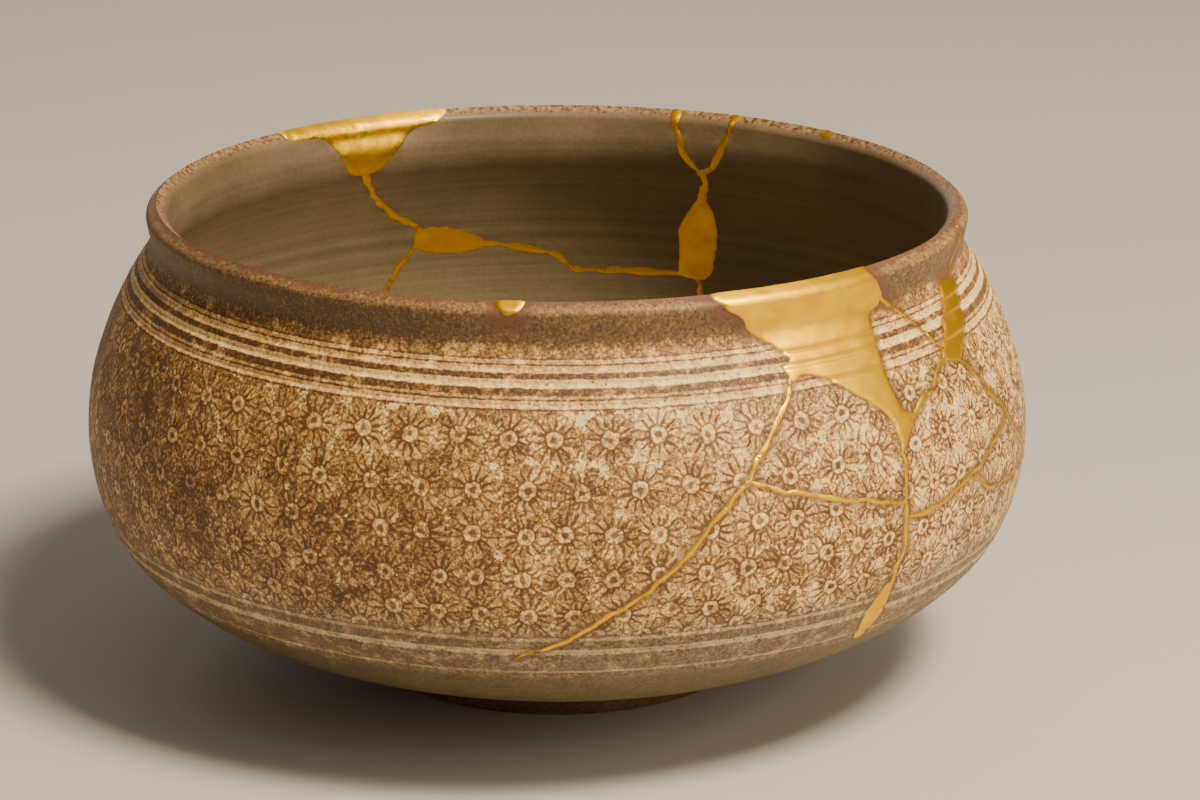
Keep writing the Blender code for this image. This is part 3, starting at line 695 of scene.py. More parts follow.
# %% [markdown]
# The foot ring and the floor close the body. Both are turned too, so they are rings of points
# that follow a profile, joined to the lower edges of the wall. The foot's edges are rounded by
# cutting its corners twice, as a potter rounds them with a wet thumb.

# %% Profiles of the foot and the floor
def corners_cut(line, times):
    """A line with its corners cut, its two ends kept."""
    line = np.asarray(line, float)
    for _ in range(times):
        near, far = 0.78 * line[:-1] + 0.22 * line[1:], 0.22 * line[:-1] + 0.78 * line[1:]
        middle = np.stack((near, far), 1).reshape(-1, 2)
        line = np.vstack((line[:1], middle, line[-1:]))
    return line


wall_end, wall_end_inside = outside[-1], inside[-1]
foot_inside = FOOT_RADIUS - FOOT_WIDTH
foot_profile = corners_cut((
    wall_end,
    (
        ROOT_RADIUS + 0.45 * (wall_end[0] - ROOT_RADIUS),
        FOOT_HEIGHT + 0.38 * (wall_end[1] - FOOT_HEIGHT),
    ),
    (ROOT_RADIUS, FOOT_HEIGHT), (FOOT_RADIUS, FOOT_HEIGHT - 0.7), (FOOT_RADIUS - 0.2, 0.5),
    (FOOT_RADIUS - 0.6, 0.0), (foot_inside + 0.6, 0.0), (foot_inside, 0.5),
    (foot_inside - 0.6, FOOT_HOLLOW - 0.6), (foot_inside - 1.8, FOOT_HOLLOW), (16.0, FOOT_HOLLOW - 0.1),
    (4.0, FOOT_HOLLOW + 0.1),
), 2)[1:]
floor_z = FOOT_HOLLOW + FLOOR_THICKNESS
floor_shares = np.array((0.93, 0.84, 0.74, 0.62, 0.5, 0.38, 0.26, 0.15, 0.06))
floor_profile = np.stack((
    wall_end_inside[0] * floor_shares,
    floor_z + (wall_end_inside[1] - floor_z) * floor_shares ** 2.4,
), 1)
GLAZED_RINGS = 4
print(len(foot_profile), "rings under the bowl and", len(floor_profile), "on its floor")


# %% Rings turned about the axis
def turned_base(edge, spots, profile, centre_z, first_vertex, upward):
    """Places, faces and corner spots of rings from an edge to the axis, closed by a fan."""
    angles = spots[:, 0] / MAP_RADIUS
    count = len(edge)
    places, faces, face_spots, rings = [], [], [], []
    above, above_y = np.asarray(edge), spots[:, 1]
    way = 0.0
    last = None
    for ring, (radius, z) in enumerate(profile):
        way += 1.0 if last is None else math.hypot(radius - last[0], z - last[1])
        last = (radius, z)
        x, y = radius * np.sin(angles), -radius * np.cos(angles)
        places.append(np.stack((x, y, np.full(count, z)), 1))
        below = first_vertex + ring * count + np.arange(count)
        below_y = np.full(count, LAST_DEPTH + way)
        for k in range(count):
            n = (k + 1) % count
            x, next_x = spots[k, 0], spots[n, 0] + (MAP_WIDTH if n == 0 else 0)
            corners = (above[k], above[n], below[n], below[k])
            corner_spots = (
                (x, above_y[k]), (next_x, above_y[n]), (next_x, below_y[n]), (x, below_y[k]),
            )
            if not upward:
                corners, corner_spots = corners[::-1], corner_spots[::-1]
            faces.append(tuple(int(c) for c in corners))
            face_spots.append(corner_spots)
            rings.append(ring)
        above, above_y = below, below_y
    hub = first_vertex + len(profile) * count
    places.append(np.array(((0.0, 0.0, centre_z),)))
    for k in range(count):
        n = (k + 1) % count
        x = spots[k, 0]
        corners = (above[k], above[n], hub)
        corner_spots = ((x, above_y[k]), (x + 1, above_y[k]), (x, above_y[k] + 4))
        faces.append(tuple(int(c) for c in (corners if upward else corners[::-1])))
        face_spots.append(corner_spots if upward else corner_spots[::-1])
        rings.append(len(profile))
    return np.vstack(places), faces, face_spots, rings


# %% [markdown]
# The body gets a square in which its colours can be baked into a picture, and each face needs a spot of
# its own there. The body is by far the largest piece, so its square is laid out here: the outside in
# two wide sheets, one for each half of the way round, the foot and the inside in strips under them,
# and the broken edges at the bottom. The other pieces get no such square.

# %% Places in the baked picture
# Each sheet is (top, height, first depth, last depth).
SHEET_LEFT, SHEET_WIDTH, SECOND_HALF_DOWN = 0.02, 0.96, 0.38
BAKE_SHEETS = {
    "outer": (0.99, 0.365, 0, LAST_DEPTH), "foot": (0.235, 0.07, LAST_DEPTH, LAST_DEPTH + 100),
    "inner": (0.155, 0.12, 0, LAST_DEPTH + 60),
}


def baked_corners(corners, sheet):
    """A face's corners in the square, from its corners on the map."""
    top, height, start, end = BAKE_SHEETS[sheet]
    middle = sum(x for x, _ in corners) / len(corners)
    half = int(sheet == "outer" and middle > MAP_LEFT + MAP_WIDTH / 2)
    halves = 2 if sheet == "outer" else 1
    return [(
        SHEET_LEFT + SHEET_WIDTH * ((x - MAP_LEFT) / MAP_WIDTH * halves - half),
        top - SECOND_HALF_DOWN * half - height * (y - start) / (end - start),
    ) for x, y in corners]


print("the map's top left corner is baked at", baked_corners([(MAP_LEFT, 0)], "outer"))

# %% [markdown]
# Now each piece can be made: its outer triangles, its inner ones, and a strip through the wall
# along every break, which closes it. Two map layers go with it. WallMap holds each corner's place
# on the wall in millimetres, and StampMap its place in its flower. The body has OFBake as well,
# its places in the baked picture. Two numbers go with the faces and points: stamp_chance tells
# one flower from another, and from_gold is the distance to the nearest gold in millimetres.

# %% Making a piece's mesh
OUTSIDE_FACE, INSIDE_FACE, BARE_FACE = 0, 1, 2
FAR_FROM_GOLD = 8.0
SHARP_EDGE = math.radians(42)
inner_of = np.full(len(outer_points), -1)
with_twin = np.flatnonzero(outer_twin >= 0)
inner_of[outer_twin[with_twin]] = with_twin
inner_welded = inner_joined + len(outer_points)
on_crest = (inner_points[:, 1] < TINY) & (outer_twin >= 0)
inner_welded[on_crest] = outer_joined[outer_twin[on_crest]]


def piece_object(name, number):
    """One closed mesh object for a sherd or a mend."""
    gold = name.startswith("gold")
    out = piece_of == number
    inn = inner_piece == number
    faces = list(map(tuple, outer_joined[outer_triangles[out]][:, ::-1].tolist()))
    wall = list(outer_points[outer_triangles[out]][:, ::-1])
    stamp = list(stamp_place[out][:, ::-1])
    kinds = [OUTSIDE_FACE] * len(faces)
    chances = list(stamp_chance[out])
    inner_faces = inner_welded[inner_triangles[inn]]
    faces += list(map(tuple, inner_faces.tolist()))
    wall += list(inner_points[inner_triangles[inn]])
    baked = [baked_corners(w, "outer") for w in wall[:len(stamp)]]
    baked += [baked_corners(w, "inner") for w in wall[len(stamp):]]
    break_count = int((break_piece == number).sum())
    kinds += [INSIDE_FACE] * len(inner_faces)
    for i, j in break_ends[break_piece == number]:
        loop = [outer_joined[i], outer_joined[j], inner_welded[inner_of[j]], inner_welded[inner_of[i]]]
        loop_spots = [outer_points[i], outer_points[j], outer_points[j], outer_points[i]]
        kept = [k for k in range(4) if loop[k] != loop[k - 1]]
        along = len(faces) - len(stamp) - len(inner_faces)
        baked.append([(
            (along + 0.8 * (k in (1, 2))) / break_count, 0.005 + 0.02 * (k < 2),
        ) for k in kept])
        faces.append(tuple(int(loop[k]) for k in kept))
        wall.append([loop_spots[k] for k in kept])
        kinds.append(BARE_FACE)

    used = np.unique(np.concatenate([np.array(f) for f in faces]))
    outer_used = used[used < len(outer_points)]
    inner_used = used[used >= len(outer_points)] - len(outer_points)
    outer_raise = gold_height(outer_points[outer_used], outer_distance[outer_used]) if gold else 0.0
    inner_raise = gold_height(inner_points[inner_used], inner_distance[inner_used]) if gold else 0.0
    places = np.vstack((
        fold(outer_points[outer_used], True, outer_raise),
        fold(inner_points[inner_used], False, inner_raise),
    ))
    far = np.concatenate((outer_distance[outer_used], inner_distance[inner_used]))
    local = {int(v): k for k, v in enumerate(used)}
    faces = [tuple(local[int(v)] for v in face) for face in faces]

    if name == "bowl_body":
        for points, joined, shift, profile, centre_z, upward in (
            (outer_points, outer_joined, 0, foot_profile, FOOT_HOLLOW + 0.1, False),
            (inner_points, inner_joined, len(outer_points), floor_profile, floor_z, True),
        ):
            own = joined == np.arange(len(points))
            edge = np.flatnonzero((points[:, 1] > LAST_DEPTH - TINY) & own)
            edge = edge[np.argsort(points[edge, 0])]
            edge_vertices = [local[int(v) + shift] for v in edge]
            ring_places, ring_faces, ring_spots, rings = turned_base(
                edge_vertices, points[edge], profile, centre_z, len(places), upward
            )
            places = np.vstack((places, ring_places))
            faces += ring_faces
            wall += ring_spots
            baked += [baked_corners(w, "inner" if upward else "foot") for w in ring_spots]
            if upward:
                kinds += [INSIDE_FACE] * len(rings)
            else:
                kinds += [OUTSIDE_FACE if ring < GLAZED_RINGS else BARE_FACE for ring in rings]
    far = np.concatenate((far, np.full(len(places) - len(far), FAR_FROM_GOLD)))

    mesh = bpy.data.meshes.new(name + "_fine")
    mesh.from_pydata((places * MM).tolist(), [], faces)
    wall_layer = mesh.uv_layers.new(name="WallMap")
    wall_layer.uv.foreach_set("vector", np.vstack([np.asarray(w, float) for w in wall]).ravel())
    if name == "bowl_body":
        bake_layer = mesh.uv_layers.new(name="OFBake")
        bake_layer.uv.foreach_set("vector", np.vstack([np.asarray(b, float) for b in baked]).ravel())
    stamp_layer = mesh.uv_layers.new(name="StampMap")
    corner_count = len(mesh.loops)
    stamp_values = np.full((corner_count, 2), NO_STAMP)
    if stamp:
        stamp_values[: 3 * len(stamp)] = np.vstack(stamp)
    stamp_layer.uv.foreach_set("vector", stamp_values.ravel())
    chance_values = np.full(len(faces), 0.5)
    chance_values[: len(chances)] = chances
    mesh.attributes.new("stamp_chance", "FLOAT", "FACE").data.foreach_set("value", chance_values)
    from_gold = mesh.attributes.new("from_gold", "FLOAT", "POINT")
    from_gold.data.foreach_set("value", np.minimum(far, FAR_FROM_GOLD))
    mesh.polygons.foreach_set("material_index", np.array(kinds) * (0 if gold else 1))
    mesh.shade_smooth()
    mesh.set_sharp_from_angle(angle=SHARP_EDGE)
    piece = bpy.data.objects.new(name + "_dressed", mesh)
    bpy.context.scene.collection.objects.link(piece)
    return piece


pieces = {}
for number, name in enumerate(PIECES):
    pieces[name] = piece_object(name, number)
    print(name, len(pieces[name].data.polygons), "faces")

# %% [markdown]
# Every finish below is drawn by nodes. One function adds a node: it takes the node's kind, what
# goes into its sockets, which output is wanted, and the node's own settings. Colours are written
# as sRGB hex, the way a colour picker shows them, and another function turns them to linear.

# %% Adding nodes and colours
def linear(hex_colour):
    """An sRGB hex colour as linear red, green, blue and full alpha."""
    values = [int(hex_colour[k:k + 2], 16) / 255 for k in (1, 3, 5)]
    return tuple(v / 12.92 if v <= 0.04045 else ((v + 0.055) / 1.055) ** 2.4 for v in values) + (1.0,)


def add(tree, kind, sockets=None, out=0, **settings):
    """Adds a node with its settings, and its sockets set or linked. Gives its output socket."""
    node = tree.nodes.new("ShaderNode" + kind)
    stops = settings.pop("stops", None)
    for name, value in settings.items():
        setattr(node, name, value)
    if stops:
        ramp = node.color_ramp.elements
        while len(ramp) > 1:
            ramp.remove(ramp[-1])
        ramp[0].position, ramp[0].color = stops[0]
        for position, colour in stops[1:]:
            ramp.new(position).color = colour
    for name, value in (sockets or {}).items():
        if isinstance(value, bpy.types.NodeSocket):
            tree.links.new(value, node.inputs[name])
        else:
            node.inputs[name].default_value = value
    return node.outputs[out]


def new_finish(name):
    """An empty material, its tree, its shader, and places on the object in millimetres."""
    finish = bpy.data.materials.new(name)
    finish.use_nodes = True
    tree = finish.node_tree
    shader = tree.nodes["Principled BSDF"]
    place = add(tree, "VectorMath", {
        0: add(tree, "TexCoord", out=3), 1: (1000, 1000, 1000),
    }, operation="MULTIPLY")
    return finish, tree, shader, place


print("thick cream slip in linear numbers:", linear("#ffe9a5"))

# %% [markdown]
# The outside is brown stoneware inlaid with white slip and covered with a thin clear glaze. The
# potter brushed slip over the stamped belly and the turned grooves and scraped it off again, so
# it lies thick in the hollows, thin and tan on the petals, and hardly at all on the ridges
# between them. One number from 0 to 1 therefore says how much slip lies at a spot, and one ramp
# turns it into a colour: dark clay, tan, cream. First come the chance patterns that break it up.

# %% Chance patterns, and a place in the stamped flower
inlaid, tree, shader, place = new_finish("inlaid_stoneware")
# Each pattern is given by the size of one of its spots in millimetres: clouds in the firing,
# patches of thicker slip, speckle of the coarse clay, and the shake of a hand-cut stamp.
CLOUD_MM, PATCH_MM, SPECKLE_MM, SHAKE_MM = 22.2, 2.78, 0.588, 1.667
broad = add(tree, "TexNoise", {"Vector": place, "Scale": 1 / CLOUD_MM, "Detail": 2.0})
patchy = add(tree, "TexNoise", {
    "Vector": place, "Scale": 1 / PATCH_MM, "Detail": 4.0, "Roughness": 0.6,
})
mottle = add(tree, "TexNoise", {
    "Vector": place, "Scale": 1 / SPECKLE_MM, "Detail": 4.0, "Roughness": 0.75,
})
wobble = add(tree, "TexNoise", {"Vector": place, "Scale": 1 / SHAKE_MM, "Detail": 2.0}, out=1)
wobble = add(tree, "VectorMath", {0: wobble, 1: (0.5, 0.5, 0.5)}, operation="SUBTRACT")

stamp_uv = add(tree, "UVMap", uv_map="StampMap")
wobbled = add(tree, "VectorMath", {
    0: wobble, 1: (1.3, 1.3, 0.0), 2: stamp_uv,
}, operation="MULTIPLY_ADD")
reach = add(tree, "VectorMath", {0: wobbled}, out=1, operation="LENGTH")
split = add(tree, "SeparateXYZ", {0: wobbled}).node
turn = add(tree, "Math", {0: split.outputs[1], 1: split.outputs[0]}, operation="ARCTAN2")
PETALS = 14
turns = add(tree, "Math", {0: turn, 1: PETALS / math.tau, 2: 40.0}, operation="MULTIPLY_ADD")
part = add(tree, "Math", {0: turns}, operation="FRACT")
off_middle = add(tree, "Math", {0: part, 1: 0.5}, operation="SUBTRACT")
off_middle = add(tree, "Math", {0: off_middle}, operation="ABSOLUTE")
arc = add(tree, "Math", {0: reach, 1: math.tau / PETALS}, operation="MULTIPLY")
across = add(tree, "Math", {0: off_middle, 1: arc}, operation="MULTIPLY")
to_ridge = add(tree, "Math", {0: arc, 1: 0.5}, operation="MULTIPLY")
to_ridge = add(tree, "Math", {0: to_ridge, 1: across}, operation="SUBTRACT")
bowed = add(tree, "Math", {0: across, 1: across}, operation="MULTIPLY")
bowed = add(tree, "Math", {0: bowed, 1: 0.9, 2: reach}, operation="MULTIPLY_ADD")


print(len(tree.nodes), "nodes for the chance patterns and the flower's petals")

# %% Ridges and hollows of the flower
# The ridges between the petals are widest at the ring and run out thinner. A Map Range node with
# these settings changes smoothly: socket 0 is the value, 1 and 2 its start and end, and 3 and 4
# what comes out at the two, which is 0 and 1 if nothing is set.
SMOOTH = {"interpolation_type": "SMOOTHSTEP"}
beyond = add(tree, "MapRange", {0: bowed, 1: 4.7, 2: 5.05}, **SMOOTH)
ridge_width = add(tree, "MapRange", {0: reach, 1: 1.6, 2: 4.8, 3: 0.27, 4: 0.13}, **SMOOTH)
ridge = add(tree, "Math", {0: to_ridge, 1: ridge_width}, operation="SUBTRACT")
ridge = add(tree, "MapRange", {0: ridge, 1: -0.1, 2: 0.12, 3: 1.0, 4: 0.0}, **SMOOTH)
ridge = add(tree, "Math", {
    0: ridge, 1: add(tree, "MapRange", {0: bowed, 1: 4.5, 2: 4.9, 3: 1.0, 4: 0.0}, **SMOOTH),
}, operation="MULTIPLY")
ridge = add(tree, "Math", {
    0: ridge, 1: add(tree, "MapRange", {0: reach, 1: 1.4, 2: 1.7}, **SMOOTH),
}, operation="MULTIPLY")
rim = add(tree, "Math", {0: reach, 1: 1.68}, operation="SUBTRACT")
rim = add(tree, "Math", {0: rim}, operation="ABSOLUTE")
rim = add(tree, "MapRange", {0: rim, 1: 0.08, 2: 0.3, 3: 0.95, 4: 0.0}, **SMOOTH)
tip = add(tree, "Math", {0: bowed, 1: 4.8}, operation="SUBTRACT")
tip = add(tree, "Math", {0: tip}, operation="ABSOLUTE")
tip = add(tree, "MapRange", {0: tip, 1: 0.05, 2: 0.28, 3: 0.6, 4: 0.0}, **SMOOTH)
ridge = add(tree, "Math", {0: ridge, 1: rim}, operation="MAXIMUM")
ridge = add(tree, "Math", {0: ridge, 1: tip}, operation="MAXIMUM")
ridge = add(tree, "Math", {
    0: ridge, 1: add(tree, "MapRange", {0: reach, 1: 0.45, 2: 0.8, 3: 1.0, 4: 0.0}, **SMOOTH),
}, operation="MAXIMUM")
ridge = add(tree, "Math", {
    0: ridge, 1: add(tree, "MapRange", {0: patchy, 1: 0.36, 2: 0.58, 3: 1.0, 4: 0.62}, **SMOOTH),
}, operation="MULTIPLY")

print(len(tree.nodes), "nodes with the ridges")

# %% How much slip lies on the belly
# Painted shade: the left of the front, turned away from the key light, is drawn with less slip and so
# darker.
# WallMap's first number tells where.
wall_uv = add(tree, "UVMap", uv_map="WallMap")
wall_split = add(tree, "SeparateXYZ", {0: wall_uv}).node
kept = add(tree, "MapRange", {
    0: wall_split.outputs[0], 1: -75.0, 2: 50.0, 3: -0.14, 4: 0.04,
}, **SMOOTH)
stamp_luck = add(tree, "Attribute", out=2, attribute_name="stamp_chance")
grain = add(tree, "Math", {0: mottle, 1: 2.7, 2: -1.785}, operation="MULTIPLY_ADD")
for pattern, share in ((patchy, 0.45), (broad, 0.3)):
    grain = add(tree, "Math", {0: pattern, 1: share, 2: grain}, operation="MULTIPLY_ADD")
# The painted shade on the left of the front joins the grain here, so it also darkens the lines and the
# neck there.
grain = add(tree, "Math", {0: grain, 1: kept}, operation="ADD")
belly = add(tree, "Math", {0: stamp_luck, 1: 0.24, 2: grain}, operation="MULTIPLY_ADD")
petal_key = add(tree, "CombineXYZ", {
    0: add(tree, "Math", {0: turns}, operation="FLOOR"), 1: stamp_luck,
})
petal_luck = add(tree, "TexWhiteNoise", {"Vector": petal_key})
petal_share = add(tree, "MapRange", {0: beyond, 1: 0.0, 2: 1.0, 3: 0.3, 4: 0.0}, **SMOOTH)
belly = add(tree, "Math", {0: petal_luck, 1: petal_share, 2: belly}, operation="MULTIPLY_ADD")
belly = add(tree, "Math", {
    0: belly, 1: add(tree, "MapRange", {0: beyond, 1: 0.0, 2: 1.0, 3: 0.3, 4: 0.35}, **SMOOTH),
}, operation="ADD")
ring = add(tree, "MapRange", {0: reach, 1: 1.35, 2: 1.55, 3: 0.18, 4: 0.0}, **SMOOTH)
belly = add(tree, "Math", {0: belly, 1: ring}, operation="ADD")
# Cream blobs of thick slip, thinned on the left of the front by the same painted shade.
blobs = add(tree, "Math", {0: mottle, 1: 0.6, 2: patchy}, operation="MULTIPLY_ADD")
for pattern, share in ((beyond, 0.07), (broad, 0.3), (kept, 0.7)):
    blobs = add(tree, "Math", {0: pattern, 1: share, 2: blobs}, operation="MULTIPLY_ADD")
blobs = add(tree, "MapRange", {0: blobs, 1: 1.02, 2: 1.1}, **SMOOTH)
thick_slip = add(tree, "Math", {0: mottle, 1: 1.3, 2: 0.2}, operation="MULTIPLY_ADD")
belly = add(tree, "Mix", {0: blobs, 2: belly, 3: thick_slip}, data_type="FLOAT")
belly = add(tree, "Mix", {0: ridge, 2: belly, 3: 0.08}, data_type="FLOAT")
print(len(tree.nodes), "nodes with the belly's slip")

# %% How much slip lies in the turned lines
wander = add(tree, "SeparateXYZ", {0: wobble}).node
depth = add(tree, "Math", {
    0: wander.outputs[2], 1: 0.45, 2: wall_split.outputs[1],
}, operation="MULTIPLY_ADD")


def line_stops(lines, ground, top, span):
    """Grey stops for lines of slip over a span of depth: each line is (from, to, amount)."""
    edge = 0.1
    stops = [(0.0, (ground,) * 3 + (1.0,))]
    for start, end, amount in lines:
        for at, value in (
            (start - edge, ground), (start + edge, amount), (end - edge, amount), (end + edge, ground),
        ):
            stops.append((min(max((at - top) / span, 0.0), 1.0), (value,) * 3 + (1.0,)))
    return stops


upper = add(tree, "MapRange", {"Value": depth, "From Min": 8.0, "From Max": 21.0})
upper_slip = add(tree, "ValToRGB", {0: upper}, stops=line_stops((
    (8.1, 10.6, 0.38), (10.95, 11.7, 0.66), (12.0, 13.35, 0.76), (14.45, 16.05, 0.86),
    (17.4, 17.95, 0.6), (18.3, 19.65, 0.76),
), 0.2, 8.0, 13.0))
lower = add(tree, "MapRange", {"Value": depth, "From Min": 60.0, "From Max": 74.0})
lower_slip = add(tree, "ValToRGB", {0: lower}, stops=line_stops((
    (61.1, 61.9, 0.7), (63.9, 65.3, 0.82), (70.0, 71.1, 0.62),
), 0.3, 60.0, 14.0))
on_belly = add(tree, "MapRange", {0: depth, 1: 19.9, 2: 20.2}, **SMOOTH)
below_belly = add(tree, "MapRange", {0: depth, 1: 60.6, 2: 61.0}, **SMOOTH)
line_slip = add(tree, "Mix", {0: below_belly, 2: upper_slip, 3: lower_slip}, data_type="FLOAT")
line_slip = add(tree, "Math", {0: grain, 1: 0.75, 2: line_slip}, operation="MULTIPLY_ADD")
rubbed = add(tree, "MapRange", {0: patchy, 1: 0.5, 2: 0.66, 3: 0.0, 4: 0.26}, **SMOOTH)
line_slip = add(tree, "Math", {0: line_slip, 1: rubbed}, operation="ADD")
belly_share = add(tree, "Math", {0: on_belly, 1: below_belly}, operation="SUBTRACT", use_clamp=True)
slip = add(tree, "Mix", {0: belly_share, 2: line_slip, 3: belly}, data_type="FLOAT")
print(len(tree.nodes), "nodes with the turned lines")

# %% Colours of the outside
colour = add(tree, "ValToRGB", {0: slip}, stops=(
    (0.02, linear("#4a3014")), (0.22, linear("#775123")), (0.42, linear("#ab8042")),
    (0.62, linear("#d2a55f")), (0.80, linear("#edcb80")), (0.98, linear("#ffe9a5")),
))
# Below the belly the slip was wiped thin over the whole band, so the clay shows grey olive there.
# The change begins in the lowest row of flowers.
wiped_colour = add(tree, "ValToRGB", {0: slip}, stops=(
    (0.08, linear("#5c482c")), (0.35, linear("#8b744e")),
    (0.65, linear("#b59b6b")), (0.95, linear("#dfc998")),
))
wiped = add(tree, "MapRange", {0: depth, 1: 56.0, 2: 62.5}, **SMOOTH)
colour = add(tree, "Mix", {0: wiped, 6: colour, 7: wiped_colour}, out=2, data_type="RGBA")
neck_tone = add(tree, "Math", {0: grain, 1: 0.75, 2: 0.5}, operation="MULTIPLY_ADD")
neck_colour = add(tree, "ValToRGB", {0: neck_tone}, stops=(
    (0.05, linear("#3d2e19")), (0.4, linear("#644c2b")),
    (0.7, linear("#8f6f43")), (0.95, linear("#b9945f")),
))
lip_colour = add(tree, "ValToRGB", {0: neck_tone}, stops=(
    (0.15, linear("#5b4128")), (0.5, linear("#94703f")), (0.85, linear("#c9a474")),
))
on_lip = add(tree, "MapRange", {0: depth, 1: 3.2, 2: 2.0}, **SMOOTH)
neck_colour = add(tree, "Mix", {0: on_lip, 6: neck_colour, 7: lip_colour}, out=2, data_type="RGBA")
crest = add(tree, "Math", {0: patchy, 1: -5.0, 2: depth}, operation="MULTIPLY_ADD")
crest = add(tree, "MapRange", {0: crest, 1: -1.2, 2: -2.0, 3: 0.0, 4: 0.8}, **SMOOTH)
neck_colour = add(tree, "Mix", {
    0: crest, 6: neck_colour, 7: linear("#6b4430"),
}, out=2, data_type="RGBA")
on_neck = add(tree, "Math", {0: grain, 1: 1.6, 2: depth}, operation="MULTIPLY_ADD")
on_neck = add(tree, "MapRange", {0: on_neck, 1: 9.2, 2: 7.6}, **SMOOTH)
colour = add(tree, "Mix", {0: on_neck, 6: colour, 7: neck_colour}, out=2, data_type="RGBA")
plain_colour = add(tree, "ValToRGB", {0: neck_tone}, stops=(
    (0.2, linear("#44391f")), (0.5, linear("#6c5b36")), (0.85, linear("#90794b")),
))
colour = add(tree, "Mix", {
    0: add(tree, "MapRange", {0: depth, 1: 71.5, 2: 73.5}, **SMOOTH), 6: colour, 7: plain_colour,
}, out=2, data_type="RGBA")

# Iron in the clay burns out as dark specks, and lacquer has stained the clay beside the gold.
# On the neck the glaze has chipped off beside the gold and shows the red-brown body.
beside_gold = add(tree, "Attribute", out=2, attribute_name="from_gold")
chipped = add(tree, "Math", {0: patchy, 1: -9.0, 2: beside_gold}, operation="MULTIPLY_ADD")
chipped = add(tree, "Math", {0: mottle, 1: -8.0, 2: chipped}, operation="MULTIPLY_ADD")
chipped = add(tree, "MapRange", {0: chipped, 1: -7.1, 2: -6.0, 3: 0.8, 4: 0.0}, **SMOOTH)
chipped = add(tree, "Math", {
    0: chipped, 1: add(tree, "MapRange", {0: depth, 1: 10.5, 2: 8.5}, **SMOOTH),
}, operation="MULTIPLY")
colour = add(tree, "Mix", {0: chipped, 6: colour, 7: linear("#734229")}, out=2, data_type="RGBA")
beside_gold = add(tree, "Math", {0: patchy, 1: -2.5, 2: beside_gold}, operation="MULTIPLY_ADD")
stained = add(tree, "MapRange", {0: beside_gold, 1: -1.0, 2: -0.2, 3: 0.65, 4: 0.0}, **SMOOTH)
colour = add(tree, "Mix", {0: stained, 6: colour, 7: linear("#664224")}, out=2, data_type="RGBA")
SPECK_SPACING_MM = 1.818
specks = add(tree, "TexVoronoi", {"Vector": place, "Scale": 1 / SPECK_SPACING_MM})
specks = add(tree, "Math", {0: mottle, 1: -0.55, 2: specks}, operation="MULTIPLY_ADD")
specks = add(tree, "MapRange", {0: specks, 1: -0.2, 2: -0.08, 3: 0.8, 4: 0.0}, **SMOOTH)
colour = add(tree, "Mix", {0: specks, 6: colour, 7: linear("#452b17")}, out=2, data_type="RGBA")
tree.links.new(colour, shader.inputs["Base Color"])
print(len(tree.nodes), "nodes with the colours")

# %% Gloss and relief of the outside
rough = add(tree, "MapRange", {0: mottle, 1: 0.3, 2: 0.7, 3: 0.5, 4: 0.68}, **SMOOTH)
tree.links.new(rough, shader.inputs["Roughness"])
shader.inputs["Coat Weight"].default_value = 0.12
shader.inputs["Coat Roughness"].default_value = 0.35
relief = add(tree, "Math", {0: ridge, 1: 0.06}, operation="MULTIPLY")
relief = add(tree, "Math", {0: mottle, 1: 0.14, 2: relief}, operation="MULTIPLY_ADD")
relief = add(tree, "Math", {0: specks, 1: -0.08, 2: relief}, operation="MULTIPLY_ADD")
bump = add(tree, "Bump", {"Strength": 1.0, "Distance": 0.001, "Height": relief})
tree.links.new(bump, shader.inputs["Normal"])
print(len(tree.nodes), "nodes make the inlaid stoneware")

# %% [markdown]
# Inside, the same clay lies under a thicker, smooth olive glaze. Turning lines show through it
# as faint bands, and it pools greener towards the floor.

# %% Olive glaze of the inside
olive, tree, shader, place = new_finish("olive_glaze")
GLAZE_SPECK_MM, TURNING_LINE_MM = 0.909, 2.22
clouds = add(tree, "TexNoise", {
    "Vector": place, "Scale": 1 / CLOUD_MM, "Detail": 4.0, "Roughness": 0.55,
})
specks = add(tree, "TexNoise", {
    "Vector": place, "Scale": 1 / GLAZE_SPECK_MM, "Detail": 4.0, "Roughness": 0.6,
})
wall_split = add(tree, "SeparateXYZ", {0: add(tree, "UVMap", uv_map="WallMap")}).node
bands = add(tree, "TexNoise", {
    "W": wall_split.outputs[1], "Scale": 1 / TURNING_LINE_MM, "Detail": 3.0,
}, noise_dimensions="1D")
glaze_colour = add(tree, "ValToRGB", {0: clouds}, stops=(
    (0.3, linear("#685a41")), (0.5, linear("#78664a")), (0.7, linear("#867255")),
))
down = add(tree, "MapRange", {"Value": wall_split.outputs[1], "From Min": 5.0, "From Max": 70.0})
pooled = add(tree, "Mix", {0: down, 6: glaze_colour, 7: linear("#7f7354")}, out=2, data_type="RGBA")
tone = add(tree, "Math", {0: specks, 1: 0.7, 2: bands}, operation="MULTIPLY_ADD")
tone = add(tree, "MapRange", {
    "Value": tone, "From Min": 0.5, "From Max": 1.2, "To Min": 0.75, "To Max": 1.2,
})
glaze = add(tree, "Mix", {
    0: 1.0, 6: pooled, 7: tone,
}, out=2, data_type="RGBA", blend_type="MULTIPLY")
lip_edge = add(tree, "Math", {
    0: specks, 1: 2.4, 2: wall_split.outputs[1],
}, operation="MULTIPLY_ADD")
lip_worn = add(tree, "ValToRGB", {0: specks}, stops=(
    (0.34, linear("#4f3720")), (0.46, linear("#80603a")), (0.62, linear("#b08f62")),
))
glaze = add(tree, "Mix", {
    0: add(tree, "MapRange", {0: lip_edge, 1: 3.6, 2: 2.2}, **SMOOTH), 6: glaze, 7: lip_worn,
}, out=2, data_type="RGBA")
tree.links.new(glaze, shader.inputs["Base Color"])
rough = add(tree, "MapRange", {
    "Value": specks, "From Min": 0.3, "From Max": 0.7, "To Min": 0.46, "To Max": 0.6,
})
tree.links.new(rough, shader.inputs["Roughness"])
shader.inputs["Coat Weight"].default_value = 0.1
